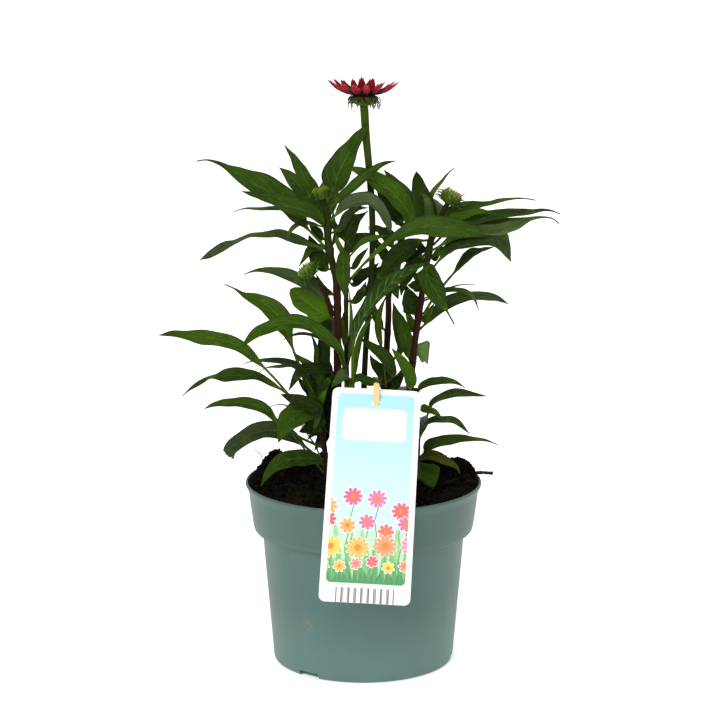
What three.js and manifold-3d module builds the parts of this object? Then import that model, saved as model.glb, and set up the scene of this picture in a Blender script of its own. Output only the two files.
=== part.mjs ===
// A potted coneflower (Echinacea) with one open flower, three buds and a hanging plant label.
// Millimetres, +Z up. The origin is the centre of the pot's underside, and the label leans over
// the rim on the -Y side. The soil carries the stems, and the stems carry the leaves.
import * as THREE from "three";
import { mergeVertices } from "three/addons/utils/BufferGeometryUtils.js";
import Module from "manifold-3d";

const wasm = await Module();
wasm.setup();

// ---------------------------------------------------------------- driving dimensions

const GAP = 0.3; // clearance between pieces that touch

// The outer wall's stretches are [radius, height] rows.
const POT = {
  segments: 40,
  wall: 1.5,
  height: 148.5,
  rimRadius: 95,
  lip: [[95.6, 146.3], [95.6, 147.6]],
  collar: [[89.6, 114], [91.9, 131], [92.9, 140.5], [94.5, 144.6]],
  shoulder: [[82.6, 108.4], [87.2, 108.9], [88.7, 110]],
  side: [[77.3, 50], [80, 82], [81.9, 106.9]],
  foot: [[70.8, 0], [72.6, 0.8], [73.3, 2.5]],
  baseRadius: 73.3,
  footInnerRadius: 63,
  discRadius: 26,
  drainRingHeight: 4, // of the raised ring in the floor that holds the drain holes
  drainRingSlope: [4, 3], // width of its inner and outer slopes
  drainHoles: 6,
  drainHoleRadius: 5,
  drainCircleRadius: 45,
  notches: [-37, 83, 203], // degrees from the front, towards +X
  notchWidth: 19,
  notchDepth: 12,
  notchHeight: 4.5,
};

const SOIL = {
  bottom: 6,
  level: 141.5,
  frontFall: 1.5, // towards the front wall, between these two distances from the middle
  fallsBetween: [40, 90],
  crownRadius: 50, // flat round the stems, over crownEdge it turns rough
  crownEdge: 16,
  crownCentre: [8, 0],
  rings: 9,
  mounds: [
    { at: [-74, 54], high: 18, wide: 22 },
    { at: [-84, 30], high: 4, wide: 20 },
    { at: [-36, 80], high: 7, wide: 16 },
    { at: [66, 66], high: 10, wide: 18 },
    { at: [84, 40], high: 11, wide: 18 },
    { at: [90, 20], high: 9, wide: 11 },
    { at: [0, 88], high: 7, wide: 34 },
    { at: [-92, -8], high: 5, wide: 26 },
    { at: [92, -14], high: 5, wide: 24 },
  ],
};

const LABEL = {
  width: 70,
  length: 179,
  thickness: 0.5,
  cornerRadius: 5,
  top: [10.7, -34.4, 231.4], // middle of the upper edge
  bottom: [0.4, -140.6, 89.6], // middle of the lower edge
  slotDistance: 12.6, // slot's middle below the upper edge
  slotWidth: 6.2,
  slotLength: 5,
};

const STICK = {
  width: 5,
  thickness: 1.8,
  at: [10.2, -42],
  top: 238.8,
  headRadius: 2.5,
  nickHeight: 231.5, // small nick on either side, under the head
  nickHalf: 1.5,
  nickDepth: 0.5,
};

const TWIG = {
  radius: [1.2, 1.3],
  through: [[62, 5, 143.3], [70, 5.5, 145], [80, 8, 148], [92, 11, 151.5], [105.5, 9.5, 151.6]],
};

// Profiles and middle lines are [radius, height] rows above the end of the stem, or for a petal
// and the cone above the receptacle.
const FLOWER = {
  receptacle: [[0, 0], [3.4, 0], [6.5, 1.6], [9.4, 4], [10.5, 6], [10.1, 7.5], [0, 7.5]],
  receptacleHeight: 7.5,
  bracts: 13,
  bractWidth: 3.6,
  bract: [[8, 5.4], [11.5, 5.2], [13.65, 2.4], [12.3, -0.6]],
  ring: [[8.2, 0], [11.2, 0], [11.2, 2], [8.2, 2], [8.2, 0]], // carries the petals
  petalWidth: 5.2,
  petal: [[9.4, 1], [15, 2.2]], // foot of every petal, before the bend that leads to its tip
  petalBend: 0.52, // share of the way to the tip, and of the rise, at which the bend lies
  petalRise: 0.36,
  petalTurn: 6, // degrees of the first petal from +X
  petalTips: [
    [27, 10], [27, 9.6], [26, 8.4], [26, 10.8], [24, 12], [19.5, 11], [22.5, 10.6], [25, 12],
    [28, 12], [27, 11], [26, 11], [25, 10.6], [24, 11], [27, 11.5], [27, 11], [27, 10.6],
  ],
  cone: [[0, 0], [7.6, 0], [7.6, 2], [6.1, 3.75], [3, 4.8], [0, 5]],
};

const BUD = {
  body: [[0, 0], [2.6, 0], [5.4, 1.5], [7.2, 4.6], [6.6, 7.7], [4, 10.3], [0, 11]],
  bracts: 10,
  bractWidth: 2,
  bract: [[5.2, 3.3], [9.2, 4], [10.6, 6.6]],
};

const LEAF = {
  stations: 14,
  petioleHalf: 1.2,
  petiole: 0.14, // share of the length that is bare stalk
  foldAngle: 14, // degrees that each half is raised from flat
  keel: 0.5, // midrib depth under the blade at its foot
  outline: [0.35, 0.9, 1, 0.95, 0.8, 0.55, 0.3, 0.12, 0], // relative widths, evenly from foot to tip
};

// Midrib of every blade, in shares of its stalk's half-thickness.
const MIDRIB = { thinning: 1.2, thinnest: 0.25, above: 0.35, below: 0.4 };

// Each stem: centre line from the soil up (its foot is set down on the soil), and radii evenly
// spaced along it. A stem with "on" grows from another stem's side at that height.
const STEMS = {
  flower_stem: {
    radius: [2.7, 2.4, 2.2, 2.2, 2.6, 3.2],
    through: [[0, 8, 0], [1, 8, 240], [5, 8, 298], [7, 8, 334], [7, 8, 359], [6.2, 8, 379],
      [4.2, 8, 404], [2.7, 8, 420], [1, 8, 440], [0.4, 8, 451.4]],
  },
  left_stem: {
    radius: [3.5, 2.4],
    through: [[-18, 0, 0], [-20.5, 0, 200], [-21, 0, 262], [-21, 0, 300], [-22.6, 0, 318],
      [-27.6, 0, 339], [-28.6, 0, 352], [-28.8, 0, 364], [-31, 0, 373], [-32.6, 0, 378]],
  },
  bud_branch: {
    on: "left_stem",
    height: 286,
    radius: [1.9, 1.6],
    through: [[-29.5, -3, 300], [-36, -5, 311], [-41, -6, 317]],
  },
  thin_stem: {
    radius: [2.2, 1.7],
    through: [[-12, 12, 0], [-13.6, 12, 230], [-14, 11, 290], [-13.6, 9, 316], [-13, 7, 331]],
  },
  middle_stem: {
    radius: [3, 2],
    through: [[16, 16, 0], [18, 16, 237], [20, 16, 276], [20.6, 16, 305], [24, 15, 326],
      [30, 14, 342], [36, 14, 356]],
  },
  right_stem: {
    radius: [3.1, 1.9],
    through: [[35, 0, 0], [38, 0, 228], [41, 0, 260], [45, 0, 289], [48.4, 0, 315],
      [52.4, 0, 337], [55, 0, 351], [59.5, 0, 361], [64, 0, 368], [66.5, 0, 374.5]],
  },
  front_shoot: {
    radius: [2.6, 2],
    through: [[-7, -13, 0], [-9, -14, 190], [-10, -15, 236]],
  },
  crown_left_shoot: {
    radius: [2.4, 1.4],
    through: [[-28, -12, 0], [-30, -11, 165], [-33, -10, 190], [-36, -8, 212], [-37, -7, 222]],
  },
  crown_right_shoot: {
    radius: [2.6, 1.8],
    through: [[42, 14, 0], [43.5, 14, 165], [44, 13, 190], [43, 12, 206], [42, 11, 222]],
  },
};

// Leaves of each stem: height of the stalk's foot, points that the midrib passes, the last one the tip,
// width of the blade, and roll, the degrees that the upper face is turned towards the front. A leaf
// may state an outline, a petiole or stations of its own in place of LEAF's.
const LEAVES = {
  left_stem: [
    {
      height: 341, width: 27, roll: 58, petiole: 0.17,
      outline: [0.2, 0.8, 1, 1, 0.85, 0.6, 0.25, 0.08, 0],
      through: [
        [-49, -8, 361], [-57, -12, 372], [-67, -17, 381], [-78, -20, 389], [-88, -23, 395],
        [-105, -29, 406], [-115, -32, 412], [-123, -34, 414], [-131, -36, 413],
      ],
    },
    {
      height: 360, width: 18, roll: 50, petiole: 0.05,
      outline: [0.6, 0.9, 1, 1, 0.95, 0.85, 0.65, 0.35, 0],
      through: [
        [-40, -15, 369], [-50, -24, 374], [-61, -31, 378], [-73, -36, 383], [-84, -40, 387],
        [-95, -43, 391],
      ],
    },
    {
      height: 366, width: 14, roll: 42, petiole: 0.15,
      outline: [0.5, 0.85, 1, 1, 0.9, 0.72, 0.5, 0.28, 0],
      through: [[-39, 9, 380], [-47, 11, 394], [-55, 12, 408], [-63, 13, 420]],
    },
    {
      height: 338, width: 13, roll: 40, petiole: 0.12,
      outline: [0.4, 0.75, 0.8, 0.6, 0.42, 0.35, 0.5, 1, 0.7, 0],
      through: [
        [-43, 6, 341], [-55, 10, 344], [-67, 14, 348], [-79, 17, 347], [-91, 20, 346],
        [-103, 23, 340], [-113, 26, 335], [-122, 28, 330], [-133, 30, 324],
      ],
    },
    {
      height: 362, width: 16, roll: -55,
      outline: [0.4, 0.8, 1, 1, 0.95, 0.85, 0.7, 0.45, 0],
      through: [
        [-15, -6, 373], [-4, -9, 378], [5, -11, 378], [12, -12, 373], [17, -12, 365],
        [22, -11, 351],
      ],
    },
    {
      height: 371, width: 24, roll: 72, petiole: 0.16,
      outline: [0.35, 0.95, 1, 0.9, 0.75, 0.6, 0.44, 0.26, 0],
      through: [
        [-24, 9, 382], [-21, 8.5, 395], [-15, 7, 408], [-8, 4.5, 421], [-2, 1.5, 430.5],
        [4.5, 0, 439.5],
      ],
    },
    {
      height: 306, width: 17, roll: 60, petiole: 0.25,
      outline: [0.2, 0.25, 0.45, 0.7, 0.9, 1, 1, 0.65, 0],
      through: [
        [-10.5, -9, 315], [-5, -12, 322.5], [6, -16, 334.5], [17, -19, 345], [30, -22, 354],
        [44, -24, 359.5], [60, -26, 360], [76, -27, 359], [87, -28, 356], [97, -28, 353],
      ],
    },
    {
      height: 281, width: 20, roll: 60, petiole: 0.08,
      outline: [0.4, 0.85, 1, 1, 1, 0.95, 0.85, 0.65, 0.35],
      through: [[-33, 4, 285], [-42, 8, 291], [-51, 12, 297], [-59, 15, 303]],
    },
    {
      height: 291, width: 13, roll: 45,
      outline: [0.5, 0.9, 1, 1, 0.85, 0.65, 0.4, 0.2, 0],
      through: [
        [-33, 2, 300], [-43, 5, 307], [-52, 8, 312], [-63, 11, 316], [-75, 14, 318],
        [-86, 17, 318], [-97, 19, 314],
      ],
    },
    {
      height: 356, width: 18, roll: 8,
      through: [[-30, 30, 368], [-26, 60, 386], [-20, 92, 394]],
    },
    {
      height: 262, width: 17, roll: 5,
      through: [[-30, 26, 272], [-42, 58, 281], [-52, 88, 272]],
    },
  ],
  middle_stem: [
    {
      height: 353, width: 19, roll: 70, petiole: 0.04,
      outline: [0.5, 0.8, 1, 1, 0.9, 0.75, 0.55, 0.3, 0],
      through: [
        [36, 9, 365], [29, 7, 376], [21, 4, 385], [12, 2, 391], [4, 1, 397], [-4, 0, 401],
        [-15, -1, 404],
      ],
    },
    {
      height: 300, width: 16, roll: 6,
      through: [[22, 34, 312], [26, 60, 322], [30, 86, 318]],
    },
    {
      height: 212, width: 17, roll: 4,
      through: [[17, 40, 222], [14, 66, 218], [10, 92, 200]],
    },
  ],
  right_stem: [
    {
      height: 350, width: 20, roll: 58, petiole: 0.06,
      outline: [0.5, 0.85, 1, 0.95, 0.85, 0.72, 0.6, 0.45, 0],
      through: [[51, 7, 360], [50, 8, 368], [47, 9, 377], [44, 10, 385], [43, 11, 392], [42, 12, 399]],
    },
    {
      height: 357, width: 12, roll: 35, petiole: 0.08,
      outline: [0.5, 0.8, 1, 0.85, 0.4, 0.36, 0.2, 0.1, 0],
      through: [
        [66, 11, 364], [75, 14, 368], [85, 16, 370], [93, 18, 371], [101, 20, 372],
        [109, 21, 374], [119, 24, 375], [129, 26, 375], [139, 28, 373],
      ],
    },
    {
      height: 342, width: 15, roll: 40,
      outline: [0.4, 0.9, 1, 0.85, 0.7, 0.62, 0.35, 0.2, 0],
      through: [
        [67, 4, 352], [77, 3, 358], [89, 3, 361], [101, 4, 364], [113, 6, 365], [125, 8, 366],
        [137, 10, 367], [147, 11, 368], [158, 12, 364],
      ],
    },
    {
      height: 338, width: 21, roll: -38,
      outline: [0.3, 0.6, 0.8, 0.9, 1, 0.85, 0.5, 0.2, 0.1, 0],
      through: [
        [72, -12, 349], [84, -16, 353], [96, -19, 355], [108, -22, 356], [119, -24, 360],
        [130, -26, 366], [142, -27, 368], [148, -28, 367], [154, -28, 362],
      ],
    },
    {
      height: 320, width: 14, roll: 35, petiole: 0.2,
      outline: [0.5, 0.85, 1, 1, 0.9, 0.75, 0.8, 0.6, 0],
      through: [
        [62, -8, 333], [68, -12, 338], [76, -17, 343], [88, -22, 346], [98, -25, 347],
        [106, -27, 345], [112, -28, 340], [116, -29, 332],
      ],
    },
    {
      height: 273, width: 13, roll: 40,
      outline: [0.4, 0.8, 1, 0.95, 0.8, 0.9, 0.85, 0.5, 0],
      through: [
        [55, 8, 281], [64, 11, 289], [74, 13, 294], [83, 15, 296], [92, 17, 296],
        [100, 19, 296], [109, 20, 294], [118, 22, 289],
      ],
    },
    {
      height: 325, width: 18, roll: 50, petiole: 0.04,
      outline: [0.6, 0.95, 1, 1, 0.85, 0.5, 0.12, 0.06, 0],
      through: [
        [50, -10, 322], [52, -14, 315], [57, -18, 308], [61, -21, 300], [65, -24, 294],
        [68, -26, 289], [72, -28, 282],
      ],
    },
    {
      height: 282, width: 18, roll: 58,
      through: [[40, 9, 289], [37, 13, 297], [33, 17, 308]],
    },
    {
      height: 345, width: 18, roll: 48,
      through: [[42, 5, 343], [33, 1, 337], [18, -5, 323], [4, -8, 305]],
    },
    {
      height: 340, width: 17, roll: 6,
      through: [[58, 26, 352], [58, 56, 366], [52, 86, 370]],
    },
    {
      height: 214, width: 16, roll: 2,
      through: [[33, 26, 217], [33, 50, 215], [29, 78, 200]],
    },
    {
      height: 286, width: 13, roll: 25, petiole: 0.52,
      outline: [0.3, 0.7, 1, 0.9, 0.7, 0.4, 0],
      through: [
        [55, 1, 297], [65, 3, 310], [73, 5, 319], [80, 7, 326], [87, 9, 333], [96, 11, 336],
        [105, 12, 338],
      ],
    },
  ],
  thin_stem: [
    {
      height: 329, width: 18, roll: 62, petiole: 0.3,
      through: [[-14, 10, 344], [-9, 11, 357], [4, 12, 367]],
    },
  ],
  front_shoot: [
    {
      height: 233, width: 19, roll: 55, petiole: 0.25,
      outline: [0.35, 0.75, 1, 1, 1, 0.9, 0.7, 0.4, 0],
      through: [
        [-9, -22, 261], [-7, -26, 274], [-2, -30, 286], [6, -35, 299], [16, -40, 312],
        [27, -45, 323], [38, -49, 331], [52, -53, 337],
      ],
    },
    {
      height: 226, width: 15, roll: 45, petiole: 0.2,
      outline: [0.35, 0.8, 1, 1, 1, 0.9, 0.75, 0.45, 0],
      through: [
        [-19, -20, 259], [-28, -24, 269], [-38, -28, 278], [-50, -32, 284], [-62, -36, 285],
        [-73, -40, 283], [-84, -43, 279], [-91, -46, 273], [-97, -48, 267],
      ],
    },
  ],
  crown_left_shoot: [
    {
      height: 206, width: 19, roll: 50, petiole: 0.48,
      outline: [0.3, 0.85, 1, 0.95, 0.8, 0.55, 0.2, 0.07, 0],
      through: [
        [-42, 6, 218], [-49, 12, 233], [-56, 18, 250], [-61, 22, 263], [-66, 25, 274],
        [-72, 28, 282], [-79, 30, 287], [-87, 32, 291], [-96, 34, 294], [-104, 36, 299],
        [-114, 38, 303],
      ],
    },
    {
      height: 192, width: 14, roll: 45, petiole: 0.47,
      outline: [0.4, 0.95, 1, 0.97, 0.95, 0.95, 0.75, 0.42, 0],
      through: [
        [-51, -16, 212], [-63, -20, 228], [-76, -24, 244], [-86, -27, 254], [-93, -29, 261],
        [-103, -31, 268], [-117, -34, 272], [-133, -36, 274], [-148, -38, 277], [-162, -40, 276],
      ],
    },
    {
      height: 198, width: 15, roll: 45, petiole: 0.35, stations: 22,
      outline: [0.3, 0.4, 0.5, 0.7, 0.9, 1, 0.9, 0.4, 0.18, 0.45, 0.3, 0.12, 0],
      through: [
        [-51, 0, 212], [-63, 5, 220], [-76, 10, 227], [-87, 15, 231], [-100, 19, 231],
        [-110, 22, 230], [-118, 24, 229], [-125, 26, 228], [-133, 28, 223], [-142, 30, 217],
        [-149, 32, 210],
      ],
    },
    {
      height: 178, width: 12, roll: 40, petiole: 0.4,
      outline: [0.3, 0.7, 0.95, 1, 0.85, 0.65, 0.55, 0.35, 0],
      through: [
        [-51, -1, 184], [-64, 2, 192], [-71, 4, 197], [-77, 6, 204], [-85, 8, 208],
        [-98, 10, 210], [-110, 11, 210], [-120, 12, 209], [-130, 13, 204],
      ],
    },
    {
      height: 211, width: 23, roll: 42, petiole: 0.05,
      outline: [0.5, 0.9, 1, 1, 0.95, 0.8, 0.55, 0.3, 0],
      through: [[-47, -22, 212], [-56, -34, 208], [-63, -46, 203], [-67, -56, 193]],
    },
    {
      height: 167, width: 16, roll: 64, petiole: 0.28,
      outline: [0.4, 0.8, 0.95, 1, 1, 1, 1, 1, 0.95],
      through: [
        [-43, -2, 173], [-53, 3, 180.5], [-63, 6, 186], [-73, 7, 188], [-84, 10, 186],
        [-94, 12, 182], [-102, 14, 176], [-107, 15, 170], [-109, 16, 164],
      ],
    },
    {
      height: 165, width: 16, roll: 45, petiole: 0.05,
      outline: [0.5, 0.85, 1, 1, 0.95, 0.8, 0.58, 0.32, 0],
      through: [
        [-39, -20, 171], [-51, -30, 174], [-60, -38, 175], [-69, -44, 172], [-76, -49, 166],
        [-81, -53, 157],
      ],
    },
    {
      height: 184, width: 17, roll: 4,
      through: [[-38, 20, 196], [-40, 50, 200], [-36, 84, 184]],
    },
  ],
  crown_right_shoot: [
    {
      height: 186, width: 11, roll: 35, petiole: 0.28,
      outline: [0.35, 0.9, 1, 1, 0.95, 0.85, 0.65, 0.35, 0],
      through: [
        [50, 7, 197], [52, 4, 204], [54, 2, 210], [60, -2, 216], [68, -5, 220], [77, -8, 222],
        [87, -11, 222], [99, -13, 221],
      ],
    },
    {
      height: 163, width: 14, roll: 30, petiole: 0.08,
      outline: [0.5, 1, 0.95, 0.85, 0.65, 0.45, 0.3, 0.15, 0],
      through: [
        [52, 11, 172], [60, 12, 176], [69, 13, 178], [79, 15, 179], [91, 16, 178.5],
        [101, 17, 177], [110, 18, 173],
      ],
    },
    {
      height: 172, width: 17, roll: 4,
      through: [[46, 34, 186], [44, 60, 186], [38, 86, 172]],
    },
  ],
};

// ---------------------------------------------------------------- colours

const FINISH = {
  pot: { color: 0x6e8782, roughness: 0.55 },
  soil: { color: 0x1e1510, roughness: 0.95 },
  label: { color: 0xf4f4f0, roughness: 0.4 },
  bamboo: { color: 0xd8bd8b, roughness: 0.6 },
  bark: { color: 0x2b1d15, roughness: 0.9 },
  greenStem: { color: 0x3a4414, roughness: 0.6 },
  darkStem: { color: 0x2e1718, roughness: 0.6 },
  leaf: { color: 0x2f4f10, roughness: 0.5 },
  bract: { color: 0x3e5a1a, roughness: 0.6 },
  petal: { color: 0x9c1f2c, roughness: 0.5 },
  cone: { color: 0x4a1416, roughness: 0.7 },
};

const STEM_FINISH = {
  flower_stem: FINISH.greenStem,
  thin_stem: FINISH.greenStem,
  front_shoot: FINISH.greenStem,
};

// ---------------------------------------------------------------- solids and meshes

const UP = new THREE.Vector3(0, 0, 1);
const BACK = new THREE.Vector3(0, 1, 0);
const radians = THREE.MathUtils.degToRad;
const vector = (row) => new THREE.Vector3(...row);

/** A mesh with its own material. */
function piece(name, geometry, finish) {
  const mesh = new THREE.Mesh(geometry, new THREE.MeshStandardMaterial({ metalness: 0, ...finish }));
  mesh.name = name;
  return mesh;
}

/** A closed geometry as a manifold solid. */
function toSolid(geometry) {
  const bare = geometry.clone();
  bare.deleteAttribute("normal");
  bare.deleteAttribute("uv");
  const merged = mergeVertices(bare, 1e-4);
  return new wasm.Manifold(new wasm.Mesh({
    numProp: 3,
    vertProperties: merged.attributes.position.array,
    triVerts: new Uint32Array(merged.index.array),
  }));
}

/** A manifold solid as a geometry. */
function toGeometry(solid) {
  const mesh = solid.getMesh();
  const geometry = new THREE.BufferGeometry();
  geometry.setAttribute("position", new THREE.BufferAttribute(mesh.vertProperties, 3));
  geometry.setIndex(new THREE.BufferAttribute(mesh.triVerts, 1));
  return geometry;
}

/** Closed geometries joined in one. */
const joined = (geometries) => toGeometry(
  geometries.map(toSolid).reduce((whole, part) => whole.add(part)),
);

/** The first closed geometry less all the others. */
const cut = (body, tools) => toGeometry(
  tools.map(toSolid).reduce((whole, tool) => whole.subtract(tool), toSolid(body)),
);

/** A closed skin over sections of equal point counts, each counter-clockwise seen from the far end.
 *  A one-point section at the end closes it to a point. */
function loft(sections) {
  const positions = sections.flat().flatMap((p) => [p.x, p.y, p.z]);
  const count = sections[0].length;
  const faces = [];
  for (let i = 2; i < count; i += 1) faces.push(0, i, i - 1);
  for (let k = 1; k < sections.length; k += 1) {
    const low = (k - 1) * count;
    const high = k * count;
    for (let i = 0; i < count; i += 1) {
      const next = (i + 1) % count;
      if (sections[k].length === 1) {
        faces.push(low + i, low + next, high);
      } else {
        faces.push(low + i, low + next, high + next, low + i, high + next, high + i);
      }
    }
  }
  if (sections.at(-1).length > 1) {
    const last = (sections.length - 1) * count;
    for (let i = 2; i < count; i += 1) faces.push(last, last + i - 1, last + i);
  }
  const geometry = new THREE.BufferGeometry();
  geometry.setAttribute("position", new THREE.Float32BufferAttribute(positions, 3));
  geometry.setIndex(faces);
  return geometry;
}

/** A lathe about +Z from [radius, height] rows that start and end on the axis. */
function turned(rows, segments) {
  const profile = rows.map(([radius, height]) => new THREE.Vector2(radius, height));
  return new THREE.LatheGeometry(profile, segments).rotateX(Math.PI / 2);
}

/** The value at a share from 0 to 1 of a row of evenly spaced values. */
function alongRow(values, share) {
  const place = share * (values.length - 1);
  const index = Math.min(Math.floor(place), values.length - 2);
  return THREE.MathUtils.lerp(values[index], values[index + 1], place - index);
}

/** A round closed tube along a curve, its radius following a row of evenly spaced values. */
function taperedTube(curve, radii, sides, steps) {
  const sections = [];
  for (let k = 0; k <= steps; k += 1) {
    const share = k / steps;
    const centre = curve.getPointAt(share);
    const along = curve.getTangentAt(share);
    const side = new THREE.Vector3().crossVectors(BACK, along).normalize();
    const across = new THREE.Vector3().crossVectors(along, side);
    const radius = alongRow(radii, share);
    sections.push(Array.from({ length: sides }, (_, i) => {
      const angle = (2 * Math.PI * i) / sides;
      return centre.clone()
        .addScaledVector(side, radius * Math.cos(angle))
        .addScaledVector(across, radius * Math.sin(angle));
    }));
  }
  return loft(sections);
}

// ---------------------------------------------------------------- pot and soil

/** A row of the pot's outer wall moved to its inner face, and raised where the wall lies flat. */
const insideOf = ([radius, height], rise = 0) => [radius - POT.wall, height + rise];

/** The pot's inner wall from above the floor to under the rim. */
const POT_INSIDE = [
  insideOf(POT.foot.at(-1), POT.wall),
  insideOf(POT.side[0]),
  insideOf(POT.side[1]),
  insideOf(POT.side.at(-1), POT.wall),
  insideOf(POT.shoulder.at(-1), POT.wall),
  ...POT.collar.slice(1).map((row) => insideOf(row)),
];

/** Radius of the pot's inner wall at a height between two of its rows. */
function insideRadius(height) {
  const above = POT_INSIDE.findIndex((row) => row[1] >= height);
  const [lowRadius, low] = POT_INSIDE[above - 1];
  const [highRadius, high] = POT_INSIDE[above];
  return THREE.MathUtils.mapLinear(height, low, high, lowRadius, highRadius);
}

/** Nursery pot with a rolled lip, a deep collar, a drain ring and three slots in its foot. */
function makePot() {
  const { wall, discRadius: disc, footInnerRadius: foot, drainRingHeight: ring } = POT;
  const [innerSlope, outerSlope] = POT.drainRingSlope;
  const outside = [
    [0, 0], [disc, 0], [disc + innerSlope, ring], [foot - outerSlope, ring], [foot, 0],
    ...POT.foot, ...POT.side, ...POT.shoulder, ...POT.collar, ...POT.lip,
    [POT.rimRadius, POT.height], [POT.rimRadius - wall, POT.height],
  ];
  const insideFloor = [
    [POT.baseRadius - 2 * wall, wall], [foot + wall, wall],
    [foot - outerSlope + wall, ring + wall], [disc + innerSlope - wall, ring + wall],
    [disc - wall, wall], [0, wall],
  ];
  const body = turned([...outside, ...POT_INSIDE.toReversed(), ...insideFloor], POT.segments);
  const tools = [];
  for (const degrees of POT.notches) {
    const slot = new THREE.BoxGeometry(POT.notchWidth, POT.notchDepth, 2 * POT.notchHeight);
    slot.translate(0, -POT.baseRadius, 0).rotateZ(radians(degrees));
    tools.push(slot);
  }
  for (let i = 0; i < POT.drainHoles; i += 1) {
    const drain = new THREE.CylinderGeometry(POT.drainHoleRadius, POT.drainHoleRadius, 3 * ring, 16);
    drain.rotateX(Math.PI / 2).translate(POT.drainCircleRadius, 0, ring);
    drain.rotateZ((2 * Math.PI * (i + 0.5)) / POT.drainHoles);
    tools.push(drain);
  }
  return piece("pot", cut(body, tools), FINISH.pot);
}

/** Height of the potting soil's surface. It is flat round the crown and heaped towards the back. */
function soilHeight(x, y) {
  const fromCrown = Math.hypot(x - SOIL.crownCentre[0], y - SOIL.crownCentre[1]);
  const { crownRadius, crownEdge, fallsBetween } = SOIL;
  const rough = THREE.MathUtils.smoothstep(fromCrown, crownRadius, crownRadius + crownEdge);
  const heaped = SOIL.mounds.reduce(
    (sum, { at, high, wide }) => {
      const away = Math.hypot(x - at[0], y - at[1]) / wide;
      return sum + high * Math.exp(-(away ** 2));
    },
    0,
  );
  const fall = SOIL.frontFall * THREE.MathUtils.smoothstep(-y, ...fallsBetween);
  return SOIL.level + rough * (heaped - fall);
}

/** Root ball and potting soil, one body that fills the pot up to its uneven surface. */
function makeSoil() {
  const underSurface = POT_INSIDE.slice(1).filter((row) => row[1] < SOIL.level - 2 * SOIL.frontFall);
  const wall = underSurface.map(([radius, height]) => [radius - GAP, height]);
  const bottomRadius = POT.baseRadius - POT.wall - GAP;
  const topRadius = insideRadius(SOIL.level - SOIL.frontFall) - GAP;
  const around = (radius, height) => Array.from({ length: POT.segments }, (_, i) => {
    const angle = (2 * Math.PI * i) / POT.segments;
    const x = radius * Math.sin(angle);
    const y = -radius * Math.cos(angle);
    return new THREE.Vector3(x, y, height ?? soilHeight(x, y));
  });
  const sections = [around(bottomRadius, SOIL.bottom)];
  for (const [radius, height] of wall) sections.push(around(radius, height));
  for (let k = 0; k < SOIL.rings; k += 1) sections.push(around(topRadius * (1 - k / SOIL.rings)));
  sections.push([new THREE.Vector3(0, 0, soilHeight(0, 0))]);
  return piece("soil", loft(sections), FINISH.soil);
}

/** A scrap of bark lying across the soil and the rim. */
function makeTwig() {
  const curve = new THREE.CatmullRomCurve3(TWIG.through.map(vector));
  return piece("bark_twig", taperedTube(curve, TWIG.radius, 6, 10), FINISH.bark);
}

// ---------------------------------------------------------------- label and its stick

/** A rectangle with rounded corners about x = 0, from y = 0 down to y = -length. */
function roundedCard(width, length, radius) {
  const half = width / 2;
  const quarter = Math.PI / 2;
  const shape = new THREE.Shape();
  shape.moveTo(-half + radius, -length);
  shape.absarc(half - radius, -length + radius, radius, -quarter, 0, false);
  shape.absarc(half - radius, -radius, radius, 0, quarter, false);
  shape.absarc(-half + radius, -radius, radius, quarter, 2 * quarter, false);
  shape.absarc(-half + radius, -length + radius, radius, 2 * quarter, 3 * quarter, false);
  return shape;
}

/** Stiff printed card that leans from its stick over the rim, with a slot for the stick. */
function makeLabel() {
  const shape = roundedCard(LABEL.width, LABEL.length, LABEL.cornerRadius);
  const slot = new THREE.Path();
  const halfSlot = LABEL.slotWidth / 2;
  const slotTop = -LABEL.slotDistance + LABEL.slotLength / 2;
  slot.moveTo(-halfSlot, slotTop);
  slot.lineTo(-halfSlot, slotTop - LABEL.slotLength);
  slot.lineTo(halfSlot, slotTop - LABEL.slotLength);
  slot.lineTo(halfSlot, slotTop);
  shape.holes.push(slot);
  const card = new THREE.ExtrudeGeometry(shape, {
    depth: LABEL.thickness,
    bevelEnabled: false,
    curveSegments: 5,
  });
  const upward = vector(LABEL.top).sub(vector(LABEL.bottom)).normalize();
  const across = new THREE.Vector3(1, 0, 0).addScaledVector(upward, -upward.x).normalize();
  const outward = new THREE.Vector3().crossVectors(across, upward);
  card.applyMatrix4(new THREE.Matrix4().makeBasis(across, upward, outward));
  const mesh = piece("label_card", card, FINISH.label);
  mesh.position.copy(vector(LABEL.top));
  return mesh;
}

/** Flat bamboo stick that stands in the soil and passes through the label's slot. */
function makeStick() {
  const half = STICK.width / 2;
  const foot = soilHeight(...STICK.at) + GAP;
  const { nickHeight: nick, nickHalf, nickDepth } = STICK;
  const shape = new THREE.Shape();
  shape.moveTo(-half, foot);
  shape.lineTo(half, foot);
  shape.lineTo(half, nick - nickHalf);
  shape.lineTo(half - nickDepth, nick);
  shape.lineTo(half, nick + nickHalf);
  shape.absarc(0, STICK.top - STICK.headRadius, STICK.headRadius, 0, Math.PI, false);
  shape.lineTo(-half, nick + nickHalf);
  shape.lineTo(-half + nickDepth, nick);
  shape.lineTo(-half, nick - nickHalf);
  const flat = new THREE.ExtrudeGeometry(shape, {
    depth: STICK.thickness,
    bevelEnabled: false,
    curveSegments: 8,
  });
  flat.rotateX(Math.PI / 2);
  const mesh = piece("label_stick", flat, FINISH.bamboo);
  mesh.position.set(STICK.at[0], STICK.at[1] + STICK.thickness / 2, 0);
  return mesh;
}

// ---------------------------------------------------------------- stems

const stemCurves = {};

/** Centre of a stem at a height, and its radius there. */
function stemAt(name, height) {
  const curve = stemCurves[name];
  let low = 0;
  let high = 1;
  for (let i = 0; i < 40; i += 1) {
    const middle = (low + high) / 2;
    if (curve.getPointAt(middle).z < height) low = middle;
    else high = middle;
  }
  return { centre: curve.getPointAt(low), radius: alongRow(STEMS[name].radius, low) };
}

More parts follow.
